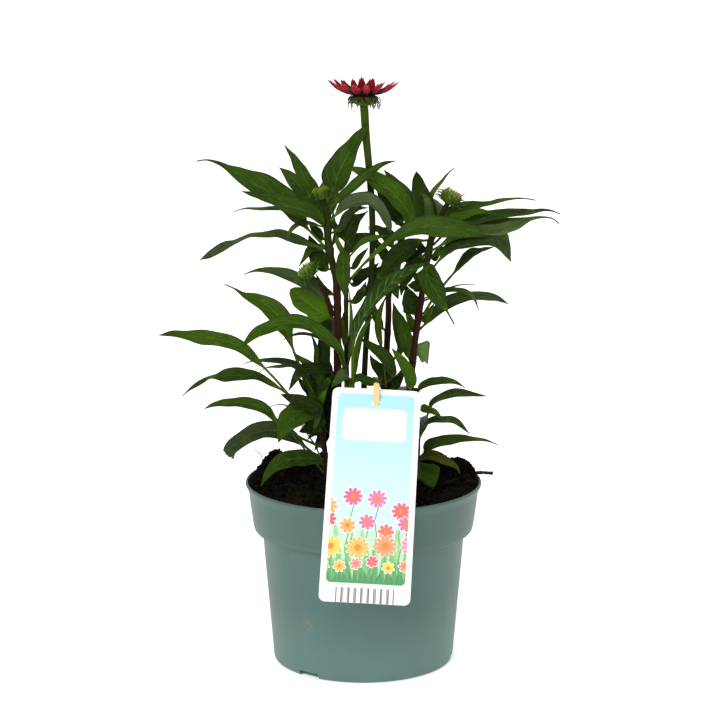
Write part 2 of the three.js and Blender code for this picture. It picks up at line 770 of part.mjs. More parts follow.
/** Where a stalk of half-thickness `half` starts, just clear of a stem's side, to go towards a point. */
function startOnStem(name, height, towards, half) {
  const { centre, radius } = stemAt(name, height);
  const outward = towards.clone().sub(centre).setZ(0).normalize();
  const rim = centre.clone().addScaledVector(outward, radius);
  const along = towards.clone().sub(rim).normalize();
  const reach = half * Math.sqrt(Math.max(0, 1 - along.dot(outward) ** 2));
  return rim.addScaledVector(outward, reach + GAP);
}

/** The centre line of a stem, from the soil or from the stem that it grows on. */
function stemCurve({ on, height, radius, through }) {
  const points = through.map(vector);
  if (on) points.unshift(startOnStem(on, height, points[0], radius[0]));
  else points[0].z = soilHeight(points[0].x, points[0].y) + GAP;
  return new THREE.CatmullRomCurve3(points, false, "centripetal");
}

/** All stems and shoots, each in a mesh of its own. */
function makeStems() {
  return Object.entries(STEMS).map(([name, stem]) => {
    stemCurves[name] = stemCurve(stem);
    const steps = Math.max(6, Math.round(stemCurves[name].getLength() / 16));
    const tube = taperedTube(stemCurves[name], stem.radius, 8, steps);
    return piece(name, tube, STEM_FINISH[name] ?? FINISH.darkStem);
  });
}

// ---------------------------------------------------------------- leaves, petals and bracts

/** Upper-face direction of a blade whose midrib runs `along`, leaning out from its foot towards
 *  `outward`, and turned by `roll` towards the front. */
function blade(along, outward, roll) {
  const face = UP.clone().multiplyScalar(along.dot(outward)).addScaledVector(outward, -along.z);
  face.addScaledVector(along, -face.dot(along)).normalize();
  const turn = outward.x < 0 ? -roll : roll;
  return face.applyAxisAngle(along, radians(turn));
}

/** A folded blade on a stalk, four points a section: right edge, upper midrib, left edge and keel.
 *  It is pointed where its outline ends in 0, and cut off otherwise. */
function bladeGeometry(curve, options) {
  const { width, outline, roll, stations, petiole, petioleHalf, foldAngle, keel } = options;
  const pointed = outline.at(-1) === 0;
  const outward = curve.getPointAt(1).sub(curve.getPointAt(0)).setZ(0).normalize();
  const fold = radians(foldAngle);
  const sections = [];
  for (let k = 0; k < stations + (pointed ? 0 : 1); k += 1) {
    const share = k / stations;
    const centre = curve.getPointAt(share);
    const along = curve.getTangentAt(share);
    const face = blade(along, outward, roll);
    const side = new THREE.Vector3().crossVectors(face, along);
    const open = Math.max(0, (share - petiole) / (1 - petiole));
    const bladeHalf = open > 0 ? (width / 2) * alongRow(outline, open) : 0;
    const stalk = petioleHalf * Math.max(MIDRIB.thinnest, 1 - MIDRIB.thinning * open);
    const half = Math.max(stalk, bladeHalf);
    const raised = bladeHalf > stalk ? half * Math.sin(fold) : 0;
    const point = (across, above) => (
      centre.clone().addScaledVector(side, across).addScaledVector(face, above)
    );
    sections.push([
      point(half * Math.cos(fold), raised),
      point(0, open > 0 ? stalk * MIDRIB.above : stalk),
      point(-half * Math.cos(fold), raised),
      point(0, open > 0 ? -stalk * MIDRIB.below - keel * (1 - open) : -stalk),
    ]);
  }
  if (pointed) sections.push([curve.getPointAt(1)]);
  return loft(sections);
}

/** One leaf of a stem. */
function makeLeaf(stem, index, { height, through, ...own }) {
  const points = through.map(vector);
  points.unshift(startOnStem(stem, height, points[0], LEAF.petioleHalf));
  const curve = new THREE.CatmullRomCurve3(points, false, "centripetal");
  return piece(`${stem}_leaf_${index + 1}`, bladeGeometry(curve, { ...LEAF, ...own }), FINISH.leaf);
}

/** Every leaf of every stem. */
const makeLeaves = () => Object.entries(LEAVES).flatMap(
  ([stem, leaves]) => leaves.map((leaf, index) => makeLeaf(stem, index, leaf)),
);

/** Pointed blades in a ring round the axis, each along [radius, height] rows. */
function whorl(count, rowsAt, options) {
  return Array.from({ length: count }, (_, i) => {
    const angle = (2 * Math.PI * i) / count;
    const points = rowsAt(i).map(([radius, height]) => (
      new THREE.Vector3(radius * Math.cos(angle), radius * Math.sin(angle), height)
    ));
    return bladeGeometry(new THREE.CatmullRomCurve3(points), { roll: 0, petiole: 0, ...options });
  });
}

/** Narrow green bracts in a ring, with +X between two of them. */
const bractWhorl = (count, rows, width) => whorl(count, () => rows, {
  width, stations: 5, petioleHalf: 0.7, foldAngle: 8, keel: 0.35,
  outline: [0.5, 0.97, 0.98, 0.82, 0.52, 0],
}).map((bract) => bract.rotateZ(Math.PI / count));

// ---------------------------------------------------------------- flower and buds

/** Petals joined at their feet by a ring, each with its own tip. */
function makeFlorets() {
  const { ring, petal, petalBend, petalRise, petalTips, petalTurn, petalWidth } = FLOWER;
  const base = new THREE.LatheGeometry(ring.map((row) => new THREE.Vector2(...row)), 24);
  const [footRadius, footHeight] = petal.at(-1);
  const petals = whorl(petalTips.length, (i) => {
    const [radius, height] = petalTips[i];
    const bend = [
      THREE.MathUtils.lerp(footRadius, radius, petalBend),
      THREE.MathUtils.lerp(footHeight, height, petalRise),
    ];
    return [...petal, bend, petalTips[i]];
  }, {
    width: petalWidth, stations: 6, petioleHalf: 0.9,
    foldAngle: 24, keel: 0.4, outline: [0.5, 0.85, 1, 0.92, 0.7, 0],
  });
  const florets = joined([base.rotateX(Math.PI / 2), ...petals]).rotateZ(radians(petalTurn));
  return piece("ray_florets", florets, FINISH.petal);
}

/** Green receptacle with its whorl of bracts, the ring of ray florets, and the cone inside it. */
function makeFlower() {
  const bracts = bractWhorl(FLOWER.bracts, FLOWER.bract, FLOWER.bractWidth);
  const receptacle = joined([turned(FLOWER.receptacle, 20), ...bracts]);
  const florets = makeFlorets();
  const cone = piece("flower_cone", turned(FLOWER.cone, 16), FINISH.cone);
  florets.position.z = FLOWER.receptacleHeight + GAP;
  cone.position.z = FLOWER.receptacleHeight + GAP;
  const flower = new THREE.Group();
  flower.add(piece("flower_receptacle", receptacle, FINISH.bract), florets, cone);
  flower.position.copy(stemCurves.flower_stem.getPointAt(1)).addScaledVector(UP, GAP);
  return flower;
}

/** A closed bud with spreading bracts at the end of a stem. */
function makeBud(name, stem) {
  const bracts = bractWhorl(BUD.bracts, BUD.bract, BUD.bractWidth);
  const along = stemCurves[stem].getTangentAt(1);
  const bud = piece(name, joined([turned(BUD.body, 14), ...bracts]), FINISH.bract);
  bud.quaternion.setFromUnitVectors(UP, along);
  bud.position.copy(stemCurves[stem].getPointAt(1)).addScaledVector(along, GAP);
  return bud;
}

const plant = new THREE.Group();
plant.add(makePot(), makeSoil(), makeTwig(), makeLabel(), makeStick());
plant.add(...makeStems(), ...makeLeaves());
plant.add(
  makeFlower(),
  makeBud("left_bud", "left_stem"),
  makeBud("lower_bud", "bud_branch"),
  makeBud("right_bud", "right_stem"),
);

export default plant;
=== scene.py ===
"""Looks of a potted coneflower: pot, soil, hanging label, stems, leaves, buds and flower.

Places are in the frame's axes: +Z up, and -Y to the front, where the label hangs over the rim.
Sizes in the tables are millimetres and are scaled by MM when a mesh is made.
"""
import logging
import math
from collections.abc import Callable, Sequence
from dataclasses import dataclass, field
from enum import Enum

import bmesh
import bpy
import numpy as np
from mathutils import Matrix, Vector, noise
from mathutils.bvhtree import BVHTree


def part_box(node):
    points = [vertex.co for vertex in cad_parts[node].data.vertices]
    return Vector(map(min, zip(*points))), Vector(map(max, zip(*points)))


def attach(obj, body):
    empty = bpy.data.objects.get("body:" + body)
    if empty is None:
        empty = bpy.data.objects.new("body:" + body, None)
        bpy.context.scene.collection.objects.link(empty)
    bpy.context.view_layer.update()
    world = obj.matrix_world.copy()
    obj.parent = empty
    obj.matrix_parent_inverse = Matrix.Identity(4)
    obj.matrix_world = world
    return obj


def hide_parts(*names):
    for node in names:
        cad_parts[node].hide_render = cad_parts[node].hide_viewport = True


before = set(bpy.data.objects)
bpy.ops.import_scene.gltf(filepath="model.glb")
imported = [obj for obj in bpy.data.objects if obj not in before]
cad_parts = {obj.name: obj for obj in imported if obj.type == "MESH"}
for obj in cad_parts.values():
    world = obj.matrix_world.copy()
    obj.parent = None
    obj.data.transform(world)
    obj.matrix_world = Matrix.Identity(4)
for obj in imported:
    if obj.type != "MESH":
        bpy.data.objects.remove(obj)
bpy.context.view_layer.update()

LOG = logging.getLogger("coneflower")
BODY = "root"
MM = 0.001
GOLDEN_ANGLE = math.pi * (3 - math.sqrt(5))
THIN = 1e-5
DOME_ROWS = 24
DOME_SIDES = 32
UP = np.array([0.0, 0.0, 1.0])
BACK = np.array([0.0, 1.0, 0.0])
BLANK = np.zeros(3)

Array = np.ndarray
Material = bpy.types.Material
Rng = np.random.Generator
Rows = Sequence[Sequence[float]]
Pair = tuple[float, float]
Triple = tuple[float, float, float]
Four = tuple[float, float, float, float]


# ---- shader values


def operator(operation: str) -> Callable[..., "Value"]:
    """Makes the method behind an operator.

    Args:
        operation: The Math node's operation.

    Returns:
        The method.
    """

    def method(value: "Value", *rest: "Value | float") -> "Value":
        """Adds the node."""
        return value.math(operation, *rest)

    return method


class Value:
    """A shader socket on which each operator adds a Math node."""

    def __init__(self, graph: "Graph", socket: bpy.types.NodeSocket) -> None:
        """Keeps the graph that the socket belongs to."""
        self.graph = graph
        self.socket = socket

    def math(self, operation: str, *rest: "Value | float") -> "Value":
        """The result of a Math node of that operation, with this value as its first input."""
        inputs = dict(enumerate((self, *rest)))
        return self.graph.node("Math", {"operation": operation}, inputs)

    __add__ = __radd__ = operator("ADD")
    __sub__ = operator("SUBTRACT")
    __mul__ = __rmul__ = operator("MULTIPLY")
    __truediv__ = operator("DIVIDE")
    __pow__ = operator("POWER")
    __mod__ = operator("FLOORED_MODULO")
    __abs__ = operator("ABSOLUTE")

    def __rsub__(self, other: float) -> "Value":
        """A number less this value."""
        return self * -1.0 + other

    def fade(self, low: float, high: float) -> "Value":
        """Smooth step from 0 at low to 1 at high, which may be the smaller of the two."""
        ends = (self, min(low, high), max(low, high), float(high < low), float(low < high))
        return self.graph.node("MapRange", {"interpolation_type": "SMOOTHSTEP"}, dict(enumerate(ends)))


class Graph:
    """The nodes of one material, or of a world."""

    def __init__(self, name: str, world: bpy.types.World | None = None) -> None:
        """Starts an empty material, or empties a world's nodes.

        Args:
            name: The new material's name.
            world: The world, if it is one.
        """
        self.end = "OutputWorld" if world else "OutputMaterial"
        self.owner = world or bpy.data.materials.new(name)
        self.owner.use_nodes = True
        self.tree = self.owner.node_tree
        self.tree.nodes.clear()

    def node(
        self, kind: str, settings: dict[str, object], inputs: dict[object, object], output: object = 0
    ) -> Value:
        """Adds a node.

        Args:
            kind: The node's type, less ShaderNode.
            settings: Its properties, which are set first; "stops" are a ramp's places and colours.
            inputs: Values, display colours or links of its sockets, by name or number.
            output: Name or number of the socket to return.

        Returns:
            That output.
        """
        made = self.tree.nodes.new("ShaderNode" + kind)
        for name, setting in settings.items():
            if name == "stops":
                self._set_stops(made.color_ramp, setting)
            else:
                setattr(made, name, setting)
        for name, value in inputs.items():
            socket = made.inputs[name]
            if isinstance(value, Value):
                self.tree.links.new(value.socket, socket)
            else:
                socket.default_value = colour(value) if isinstance(value, str) else value
        return Value(self, made.outputs[output])

    @staticmethod
    def _set_stops(ramp: bpy.types.ColorRamp, stops: Sequence[tuple[float, str]]) -> None:
        """Places a ramp's stops.

        Args:
            ramp: The ramp, which has two stops to begin with.
            stops: Places and display colours.
        """
        while len(ramp.elements) < len(stops):
            ramp.elements.new(1.0)
        for element, (place, code) in zip(ramp.elements, stops):
            element.position = place
            element.color = colour(code)

    def ramp(self, factor: Value, *stops: tuple[float, str]) -> Value:
        """Colour that follows a value through stops of (place, display colour)."""
        return self.node("ValToRGB", {"stops": stops}, {"Fac": factor})

    def mix(self, factor: Value, first: "Value | str", second: "Value | str") -> Value:
        """Blend of two colours, the second where the factor is 1."""
        inputs = {0: factor, 6: first, 7: second}
        return self.node("Mix", {"data_type": "RGBA", "clamp_factor": True}, inputs, 2)

    def attribute(self, name: str) -> tuple[Value, Value, Value]:
        """Three parts of a vector that each vertex holds."""
        vector = self.node("Attribute", {"attribute_name": name}, {}, "Vector")
        return self.parts(vector)

    def parts(self, vector: Value) -> tuple[Value, Value, Value]:
        """X, Y and Z of a vector."""
        first = self.node("SeparateXYZ", {}, {0: vector})
        return first, *(Value(self, output) for output in first.socket.node.outputs[1:])

    def place(self) -> Value:
        """Position on the object, in metres."""
        return self.node("TexCoord", {}, {}, "Object")

    def vector(self, x: "Value | float", y: "Value | float", z: "Value | float") -> Value:
        """A vector of three parts."""
        return self.node("CombineXYZ", {}, {0: x, 1: y, 2: z})

    def noise(self, where: Value, scale: float, detail: float = 3.0) -> Value:
        """Noise from 0 to 1 at a place, with that many waves a unit."""
        inputs = {"Vector": where, "Scale": scale, "Detail": detail, "Roughness": 0.55}
        return self.node("TexNoise", {}, inputs)

    def luck(self, cell: Value) -> Value:
        """Random number from 0 to 1 for each whole number."""
        return self.node("TexWhiteNoise", {"noise_dimensions": "1D"}, {"W": cell})

    def cells(self, where: Value, scale: float) -> Value:
        """Distance to the nearest edge of an irregular cell."""
        settings = {"feature": "DISTANCE_TO_EDGE"}
        return self.node("TexVoronoi", settings, {"Vector": where, "Scale": scale})

    def finish(
        self,
        base: Value,
        roughness: "Value | float",
        height: Value | None = None,
        depth: float = 0.0002,
        **others: "Value | float",
    ) -> Material:
        """Ends the graph in a Principled shader.

        Args:
            base: Base colour.
            roughness: Roughness.
            height: Relief from 0 to 1, if any.
            depth: How deep that relief is, in metres.
            others: Other sockets, with _ for a space.

        Returns:
            The material.
        """
        inputs: dict[object, object] = {"Base Color": base, "Roughness": roughness}
        inputs |= {name.replace("_", " "): number for name, number in others.items()}
        if height is not None:
            bump = {"Height": height, "Distance": depth, "Strength": 1.0}
            inputs["Normal"] = self.node("Bump", {}, bump, "Normal")
        shader = self.node("BsdfPrincipled", {}, inputs)
        self.surface(shader)
        return self.owner

    def surface(self, shader: Value) -> None:
        """Links a shader to the output."""
        end = self.tree.nodes.new("ShaderNode" + self.end)
        self.tree.links.new(shader.socket, end.inputs["Surface"])


def colour(code: str) -> Four:
    """Linear colour of a display colour such as "#3f6a10"."""
    parts = (int(code[i:i + 2], 16) / 255 for i in (1, 3, 5))
    return (*(c / 12.92 if c <= 0.04045 else ((c + 0.055) / 1.055) ** 2.4 for c in parts), 1.0)


# ---- curves and skins


def unit(rows: Array) -> Array:
    """Vectors at length 1."""
    return rows / np.maximum(np.linalg.norm(rows, axis=-1, keepdims=True), 1e-12)


def resample(rows: Array, count: int) -> Array:
    """Rows on a smooth curve through evenly spaced ones.

    Args:
        rows: Rows of numbers, such as points.
        count: How many rows to return.

    Returns:
        Rows from the first to the last.
    """
    slopes = np.gradient(rows, axis=0)
    at = np.linspace(0, len(rows) - 1, count)
    low = np.minimum(at.astype(int), len(rows) - 2)
    t = (at - low).reshape(-1, *[1] * (rows.ndim - 1))
    ease = t * t * (3 - 2 * t)
    bend = t * (1 - t)
    return (
        rows[low] * (1 - ease) + rows[low + 1] * ease
        + slopes[low] * bend * (1 - t) - slopes[low + 1] * bend * t
    )


def evenly(points: Array, count: int) -> Array:
    """Spaces points evenly on a smooth curve.

    Args:
        points: Points that the curve goes through.
        count: How many to return.

    Returns:
        The spaced points.
    """
    dense = resample(points, 16 * len(points))
    walked = np.concatenate([[0], np.cumsum(np.linalg.norm(np.diff(dense, axis=0), axis=1))])
    at = np.linspace(0, walked[-1], count)
    return np.stack([np.interp(at, walked, dense[:, i]) for i in range(3)], axis=1)


def turned_about(rows: Array, axes: Array, angle: float | Array) -> Array:
    """Turns vectors about unit axes.

    Args:
        rows: The vectors.
        axes: An axis for each.
        angle: The turn in radians, one for all or one for each.

    Returns:
        The turned vectors.
    """
    c, s = np.cos(angle), np.sin(angle)
    if isinstance(angle, Array):
        c, s = c[:, None], s[:, None]
    along = axes * np.sum(rows * axes, axis=1, keepdims=True)
    return rows * c + np.cross(axes, rows) * s + along * (1 - c)


def smooth(share: Array | float) -> Array:
    """Smooth step over 0 to 1."""
    t = np.clip(share, 0, 1)
    return t * t * (3 - 2 * t)


def full_turn(count: int) -> Array:
    """Angles that share out a whole turn."""
    return np.linspace(0, 2 * np.pi, count, endpoint=False)


def turned(profile: Array, sides: int) -> Array:
    """Rings of a body turned about +Z.

    Args:
        profile: Rows of radius and height.
        sides: Points a ring.

    Returns:
        The rings, shaped (rows, sides, 3).
    """
    angle = full_turn(sides)
    ring = np.stack([np.cos(angle), np.sin(angle), np.zeros(sides)], axis=-1)
    return profile[:, None, :1] * ring + profile[:, None, 1:] * UP


def spokes(line: Array, angle: Array, back: Array = BACK) -> Array:
    """Unit vectors that stand square on a line.

    Args:
        line: Points of the line.
        angle: Angles about it.
        back: Direction to which the spoke at angle 0 is square as well.

    Returns:
        Vectors, shaped (points, angles, 3).
    """
    along = unit(np.gradient(line, axis=0))
    side = unit(np.cross(back, along))
    across = np.cross(along, side)
    return side[:, None] * np.cos(angle)[:, None] + across[:, None] * np.sin(angle)[:, None]


def places_along(rings: Array, around: Array | float = 0.0) -> Array:
    """Places for the points of lofted rings.

    Args:
        rings: The points, shaped (rings, points a ring, 3).
        around: The places' second number, one for all or one for each point of a ring.

    Returns:
        Places whose first number goes from 0 at the first ring to 1 at the last.
    """
    place = np.zeros(rings.shape)
    place[..., 0] = np.linspace(0, 1, len(rings))[:, None]
    place[..., 1] = around
    return place


def linked(name: str, data: bpy.types.ID) -> bpy.types.Object:
    """Makes an object and links it to the scene.

    Args:
        name: Its name.
        data: Its mesh, camera or light.

    Returns:
        The object.
    """
    made = bpy.data.objects.new(name, data)
    bpy.context.scene.collection.objects.link(made)
    return made


@dataclass
class Ribbon:
    """A centre line with the directions across it and out of its upper face."""

    centre: Array
    side: Array
    face: Array

    @classmethod
    def through(cls, points: Rows, count: int, roll: float) -> "Ribbon":
        """A ribbon along a curve.

        Args:
            points: Points on it, from foot to tip.
            count: How many stations it gets.
            roll: Degrees by which its upper face turns to the front.

        Returns:
            The ribbon.
        """
        centre = evenly(np.asarray(points, float), count)
        along = unit(np.gradient(centre, axis=0))
        outward = unit((centre[-1] - centre[0]) * [1, 1, 0])
        face = UP * (along @ outward)[:, None] - outward * along[:, 2:]
        face = unit(face - along * np.sum(face * along, axis=1, keepdims=True))
        turn = math.radians(-roll if outward[0] < 0 else roll)
        face = turned_about(face, along, turn)
        return cls(centre, np.cross(face, along), face)

    @property
    def along(self) -> Array:
        """Directions of the centre line."""
        return unit(np.gradient(self.centre, axis=0))

    @property
    def length(self) -> float:
        """Length of the centre line."""
        return float(np.linalg.norm(np.diff(self.centre, axis=0), axis=1).sum())

    def twisted(self, degrees: Array) -> "Ribbon":
        """The same line with its faces turned about it."""
        face = turned_about(self.face, self.along, np.radians(degrees))
        return Ribbon(self.centre, np.cross(face, self.along), face)


@dataclass
class Skin:
    """A mesh in the making. Each vertex holds place (along, across, upper side) and kind
    (tone, stalk, length in decimetres), which the finishes read."""

    points: list[Array] = field(default_factory=list)
    faces: list[tuple[int, ...]] = field(default_factory=list)
    places: list[Array] = field(default_factory=list)
    kinds: list[Array] = field(default_factory=list)
    count: int = 0

    def add(self, points: Array, faces: list, place: Array, kind: Array) -> None:
        """Adds vertices and the faces between them.

        Args:
            points: Vertices, in metres.
            faces: Faces that number these vertices from 0.
            place: A place for each vertex, or one for all.
            kind: A kind for each vertex, or one for all.
        """
        self.points.append(points)
        self.places.append(np.broadcast_to(place, points.shape))
        self.kinds.append(np.broadcast_to(kind, points.shape))
        self.faces += [tuple(i + self.count for i in face) for face in faces]
        self.count += len(points)

    def loft(self, rings: Array, place: Array = BLANK, kind: Array = BLANK) -> None:
        """Adds a closed tube through rings of equally many points.

        Args:
            rings: Points, shaped (rings, points a ring, 3).
            place: Places, shaped to match or one for all.
            kind: Kinds, shaped to match or one for all.
        """
        rows, sides = rings.shape[:2]
        index = np.arange(rows * sides).reshape(rows, sides)
        beside = np.roll(index, -1, axis=1)
        quads = np.stack([index[:-1], beside[:-1], beside[1:], index[1:]], axis=-1)
        faces = [tuple(q) for q in quads.reshape(-1, 4).tolist()]
        faces += [tuple(index[0, ::-1].tolist()), tuple(index[-1].tolist())]
        flat = (-1, 3)
        place = np.broadcast_to(place, rings.shape).reshape(flat)
        kind = np.broadcast_to(kind, rings.shape).reshape(flat)
        self.add(rings.reshape(flat), faces, place, kind)

    def tube(self, line: Array, radii: Array, sides: int, kind: Sequence[float]) -> None:
        """Adds a round tube on a centre line, with a radius at each of its points, in metres."""
        rings = line[:, None] + spokes(line, full_turn(sides), BACK + 0.01 * UP) * radii[:, None, None]
        self.loft(rings, places_along(rings), np.asarray(kind, float))

    def build(self, name: str, material: Material, sharp: float = 180.0) -> bpy.types.Object:
        """Makes the object.

        Args:
            name: The piece's name.
            material: Its finish.
            sharp: Edges bent by more degrees than this stay sharp.

        Returns:
            The object, linked to the scene.
        """
        mesh = bpy.data.meshes.new(name)
        mesh.from_pydata(np.concatenate(self.points).tolist(), [], self.faces)
        for title, rows in (("place", self.places), ("kind", self.kinds)):
            layer = mesh.attributes.new(title, "FLOAT_VECTOR", "POINT")
            layer.data.foreach_set("vector", np.concatenate(rows).astype(np.float32).ravel())
        mesh.shade_smooth()
        if sharp < 180:
            mesh.set_sharp_from_angle(angle=math.radians(sharp))
        mesh.materials.append(material)
        return linked(name, mesh)


@dataclass
class Sheet:
    """A thin closed body on a ribbon. Each array is shaped (stations, columns): how far its points
    lie across and above the line, how thick it is, and how far they are moved along."""

    line: Ribbon
    reach: Array
    upper: Array
    depth: Array
    shift: "Array | float" = 0.0

    def add(self, skin: Skin, share: Array, across: Array, *kind: "Array | float") -> None:
        """Adds the sheet to a mesh.

        Args:
            skin: The mesh.
            share: First numbers of its places.
            across: Their second numbers.
            kind: The three numbers of its kinds.
        """
        place = np.stack(np.broadcast_arrays(share, across, 1.0), axis=-1)
        kind = np.stack(np.broadcast_arrays(*kind, self.reach)[:3], axis=-1)
        line = self.line
        shift = np.broadcast_to(self.shift, self.reach.shape)
        flat = line.centre[:, None] + line.side[:, None] * self.reach[..., None]
        flat = flat + line.along[:, None] * shift[..., None]
        top = flat + line.face[:, None] * self.upper[..., None]
        low = flat + line.face[:, None] * (self.upper - self.depth)[..., None]
        below = place * [1, 1, 0]
        inner = slice(-2, 0, -1)
        rings = np.concatenate([top, low[:, inner]], axis=1)
        places = np.concatenate([place, below[:, inner]], axis=1)
        kinds = np.concatenate([kind, kind[:, inner]], axis=1)
        skin.loft(rings[:, ::-1], places[:, ::-1], kinds[:, ::-1])


def settle(piece: bpy.types.Object, slot: str, *nodes: str) -> None:
    """Ties a finished piece to the frame.

    Args:
        piece: The piece, in place.
        slot: Material slot that its finish belongs to. It is not used.
        nodes: Nodes that it stands for.
    """
    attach(piece, BODY)
    if nodes:
        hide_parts(*nodes)
    LOG.info("%s: %d faces", piece.name, len(piece.data.polygons))


def merged(node: str) -> bmesh.types.BMesh:
    """Reads a node and joins the vertices of neighbouring faces.

    Args:
        node: The node.

    Returns:
        Its mesh, for the caller to free.
    """
    mesh = bmesh.new()
    mesh.from_mesh(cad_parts[node].data)
    bmesh.ops.remove_doubles(mesh, verts=mesh.verts, dist=1e-6)
    return mesh


def centre_line(node: str, sides: int, axis: int) -> tuple[Array, Array]:
    """Reads a node that was lofted through rings.

    Args:
        node: The node.
        sides: How many vertices a ring has.
        axis: Number of the axis along which the rings follow one another.

    Returns:
        The rings' centres and mean radii.
    """
    mesh = merged(node)
    points = np.array(sorted((tuple(v.co) for v in mesh.verts), key=lambda p: p[axis]))
    mesh.free()
    rings = points.reshape(-1, sides, 3)
    centre = rings.mean(axis=1)
    return centre, np.linalg.norm(rings - centre[:, None], axis=2).mean(axis=1)


# ---- leaves


@dataclass(frozen=True)
class Veins:
    """Side veins that leave the midrib in pairs and lean towards the tip."""

    pairs: float = 6.0
    lean: float = 1.3
    bend: float = 0.9

    def away(self, along: "Array | Value", out: "Array | Value") -> "Array | Value":
        """Distance to the nearest vein: 0 on it, and 0.5 halfway between two."""
        phase = along * self.pairs - out * self.lean - out * out * self.bend
        return abs((phase + 0.5) % 1.0 - 0.5)


@dataclass(frozen=True)
class LeafFinish:
    """Satin above with slightly lighter veins, paler and dull below, yellowish on the stalk."""

    deep: str
    fresh: str
    vein: str
    under: str
    stalk: str = "#5c7a16"
    blemish: str = "#4b3d16"
    # Weight of the lighter vein colour: the veins' own tint, and on QUILTED leaves also painted glints.
    vein_tint_and_glint: float = 0.36
    veins: Veins = Veins()

    def material(self, name: str) -> Material:
        """Makes the leaves' material.

        Args:
            name: Its name.

        Returns:
            The material.
        """
        g = Graph(name)
        along, across, upper = g.attribute("place")
        tone, stalk, length = g.attribute("kind")
        out = abs(across)
        spot = g.vector(along * length, across * 0.12, tone * 7.0)
        mottle = g.noise(spot, 20.0)
        broad = g.noise(spot, 6.0, 2.0)
        fine = g.cells(spot, 70.0)
        lines = self.veins.away(along, out).fade(0.13, 0.0) * out.fade(0.95, 0.6)
        midrib = out.fade(0.07, 0.01) * along.fade(0.95, 0.4)
        # Lighter vein lines: the veins' own tint, made stronger on QUILTED leaves to paint glints along
        # them.
        ribs = (lines * self.vein_tint_and_glint + midrib * 0.5) * (mottle * 0.8 + 0.5) + fine.fade(0.1, 0.0) * 0.14
        shade = tone * 0.75 + (mottle - 0.5) * 0.5 + (broad - 0.5) * 1.1
        above = g.mix(ribs, g.mix(shade, self.deep, self.fresh), self.vein)
        below = g.mix(ribs, g.mix(broad, self.deep, self.under), self.vein)
        skin = g.mix(upper, below, above)
        skin = g.mix(out.fade(0.95, 1.0) * 0.6, skin, self.vein)
        skin = g.mix(stalk * (1 - upper * 0.3), skin, self.stalk)
        specks = g.noise(spot, 75.0, 2.0).fade(0.74, 0.8) + along.fade(0.975, 1.0) * 0.7
        skin = g.mix(specks * 0.5, skin, self.blemish)
        rough = 0.5 - upper * 0.12 + (mottle - 0.5) * 0.2
        relief = fine.fade(0.0, 0.14) * 0.5 - lines * 0.7 - midrib * 0.5 + mottle * 0.5
        return g.finish(skin, rough, relief, 0.0005, Specular_IOR_Level=0.1)


class Shade(Enum):
    """The kinds of green that the leaves show: partly their own colours, and partly painted light and shade,
    as noted at each.
    """

    # DARK: the leaves' own dark green, deepened as painted shade for leaves deep inside the plant.
    DARK = LeafFinish("#122004", "#2e4508", "#46611a", "#34451a")
    PLAIN = LeafFinish("#1b2e05", "#3d5c0b", "#62802c", "#4c6130")
    FRESH = LeafFinish("#243c05", "#49700a", "#73922e", "#586e36")
    BRIGHT = LeafFinish("#314f04", "#527a07", "#7b9c30", "#5c7630")
    # Greyish greens that paint a grey sheen over the leaf's own green.
    DULL = LeafFinish("#25360f", "#4c6630", "#748656", "#68784e")
    # DUSK: a darker grey-green that paints shade and a grey sheen on leaves seen from below or turned under.
    DUSK = LeafFinish("#1d290d", "#3d4d24", "#5c6a40", "#54623c")
    # Painted light: a light green for a leaf lit from behind, standing in for light shining through it.
    PALE = LeafFinish("#4c6a2c", "#7f9c56", "#a0b480", "#90a474")
    OLIVE = LeafFinish("#343a06", "#66680e", "#9a8a2c", "#6e6a28")
    # QUILTED: a puckered leaf whose stronger, lighter vein lines paint the glints along its veins.
    QUILTED = LeafFinish(
        "#152c04", "#2c520a", "#7f9f46", "#4c6130", vein_tint_and_glint=0.5, veins=Veins(11.0, 0.9, 0.5)
    )


SHADED: dict[Shade, tuple[str, ...]] = {
    Shade.DARK: ("right_stem_leaf_1", "right_stem_leaf_8", "right_stem_leaf_9", "thin_stem_leaf_1"),
    Shade.FRESH: (
        "left_stem_leaf_10", "middle_stem_leaf_1", "front_shoot_leaf_2", "crown_left_shoot_leaf_1",
        "crown_left_shoot_leaf_2", "crown_left_shoot_leaf_4",
    ),
    Shade.BRIGHT: ("left_stem_leaf_8",),
    Shade.DULL: ("left_stem_leaf_4", "left_stem_leaf_9", "right_stem_leaf_5", "right_stem_leaf_6"),
    Shade.DUSK: ("left_stem_leaf_5", "crown_left_shoot_leaf_6"),
    Shade.QUILTED: ("front_shoot_leaf_1",),
}


@dataclass(frozen=True)
class LeafShape:
    """How a blade is folded, waved and pillowed, in metres and degrees. It is stalk up to a
    half-width of stalk, and all blade when it has grown by flare."""

    stalk: float = 0.0013
    flare: float = 0.0028
    stations: int = 64
    columns: int = 17
    fold: float = 18.0
    wave: float = 0.13
    ragged: float = 0.085
    pillow: float = 0.0005
    thickness: float = 0.0004
    midrib: float = 0.0008
    twist: float = 14.0
    torn: float = 0.0016
    rounded: float = 0.0


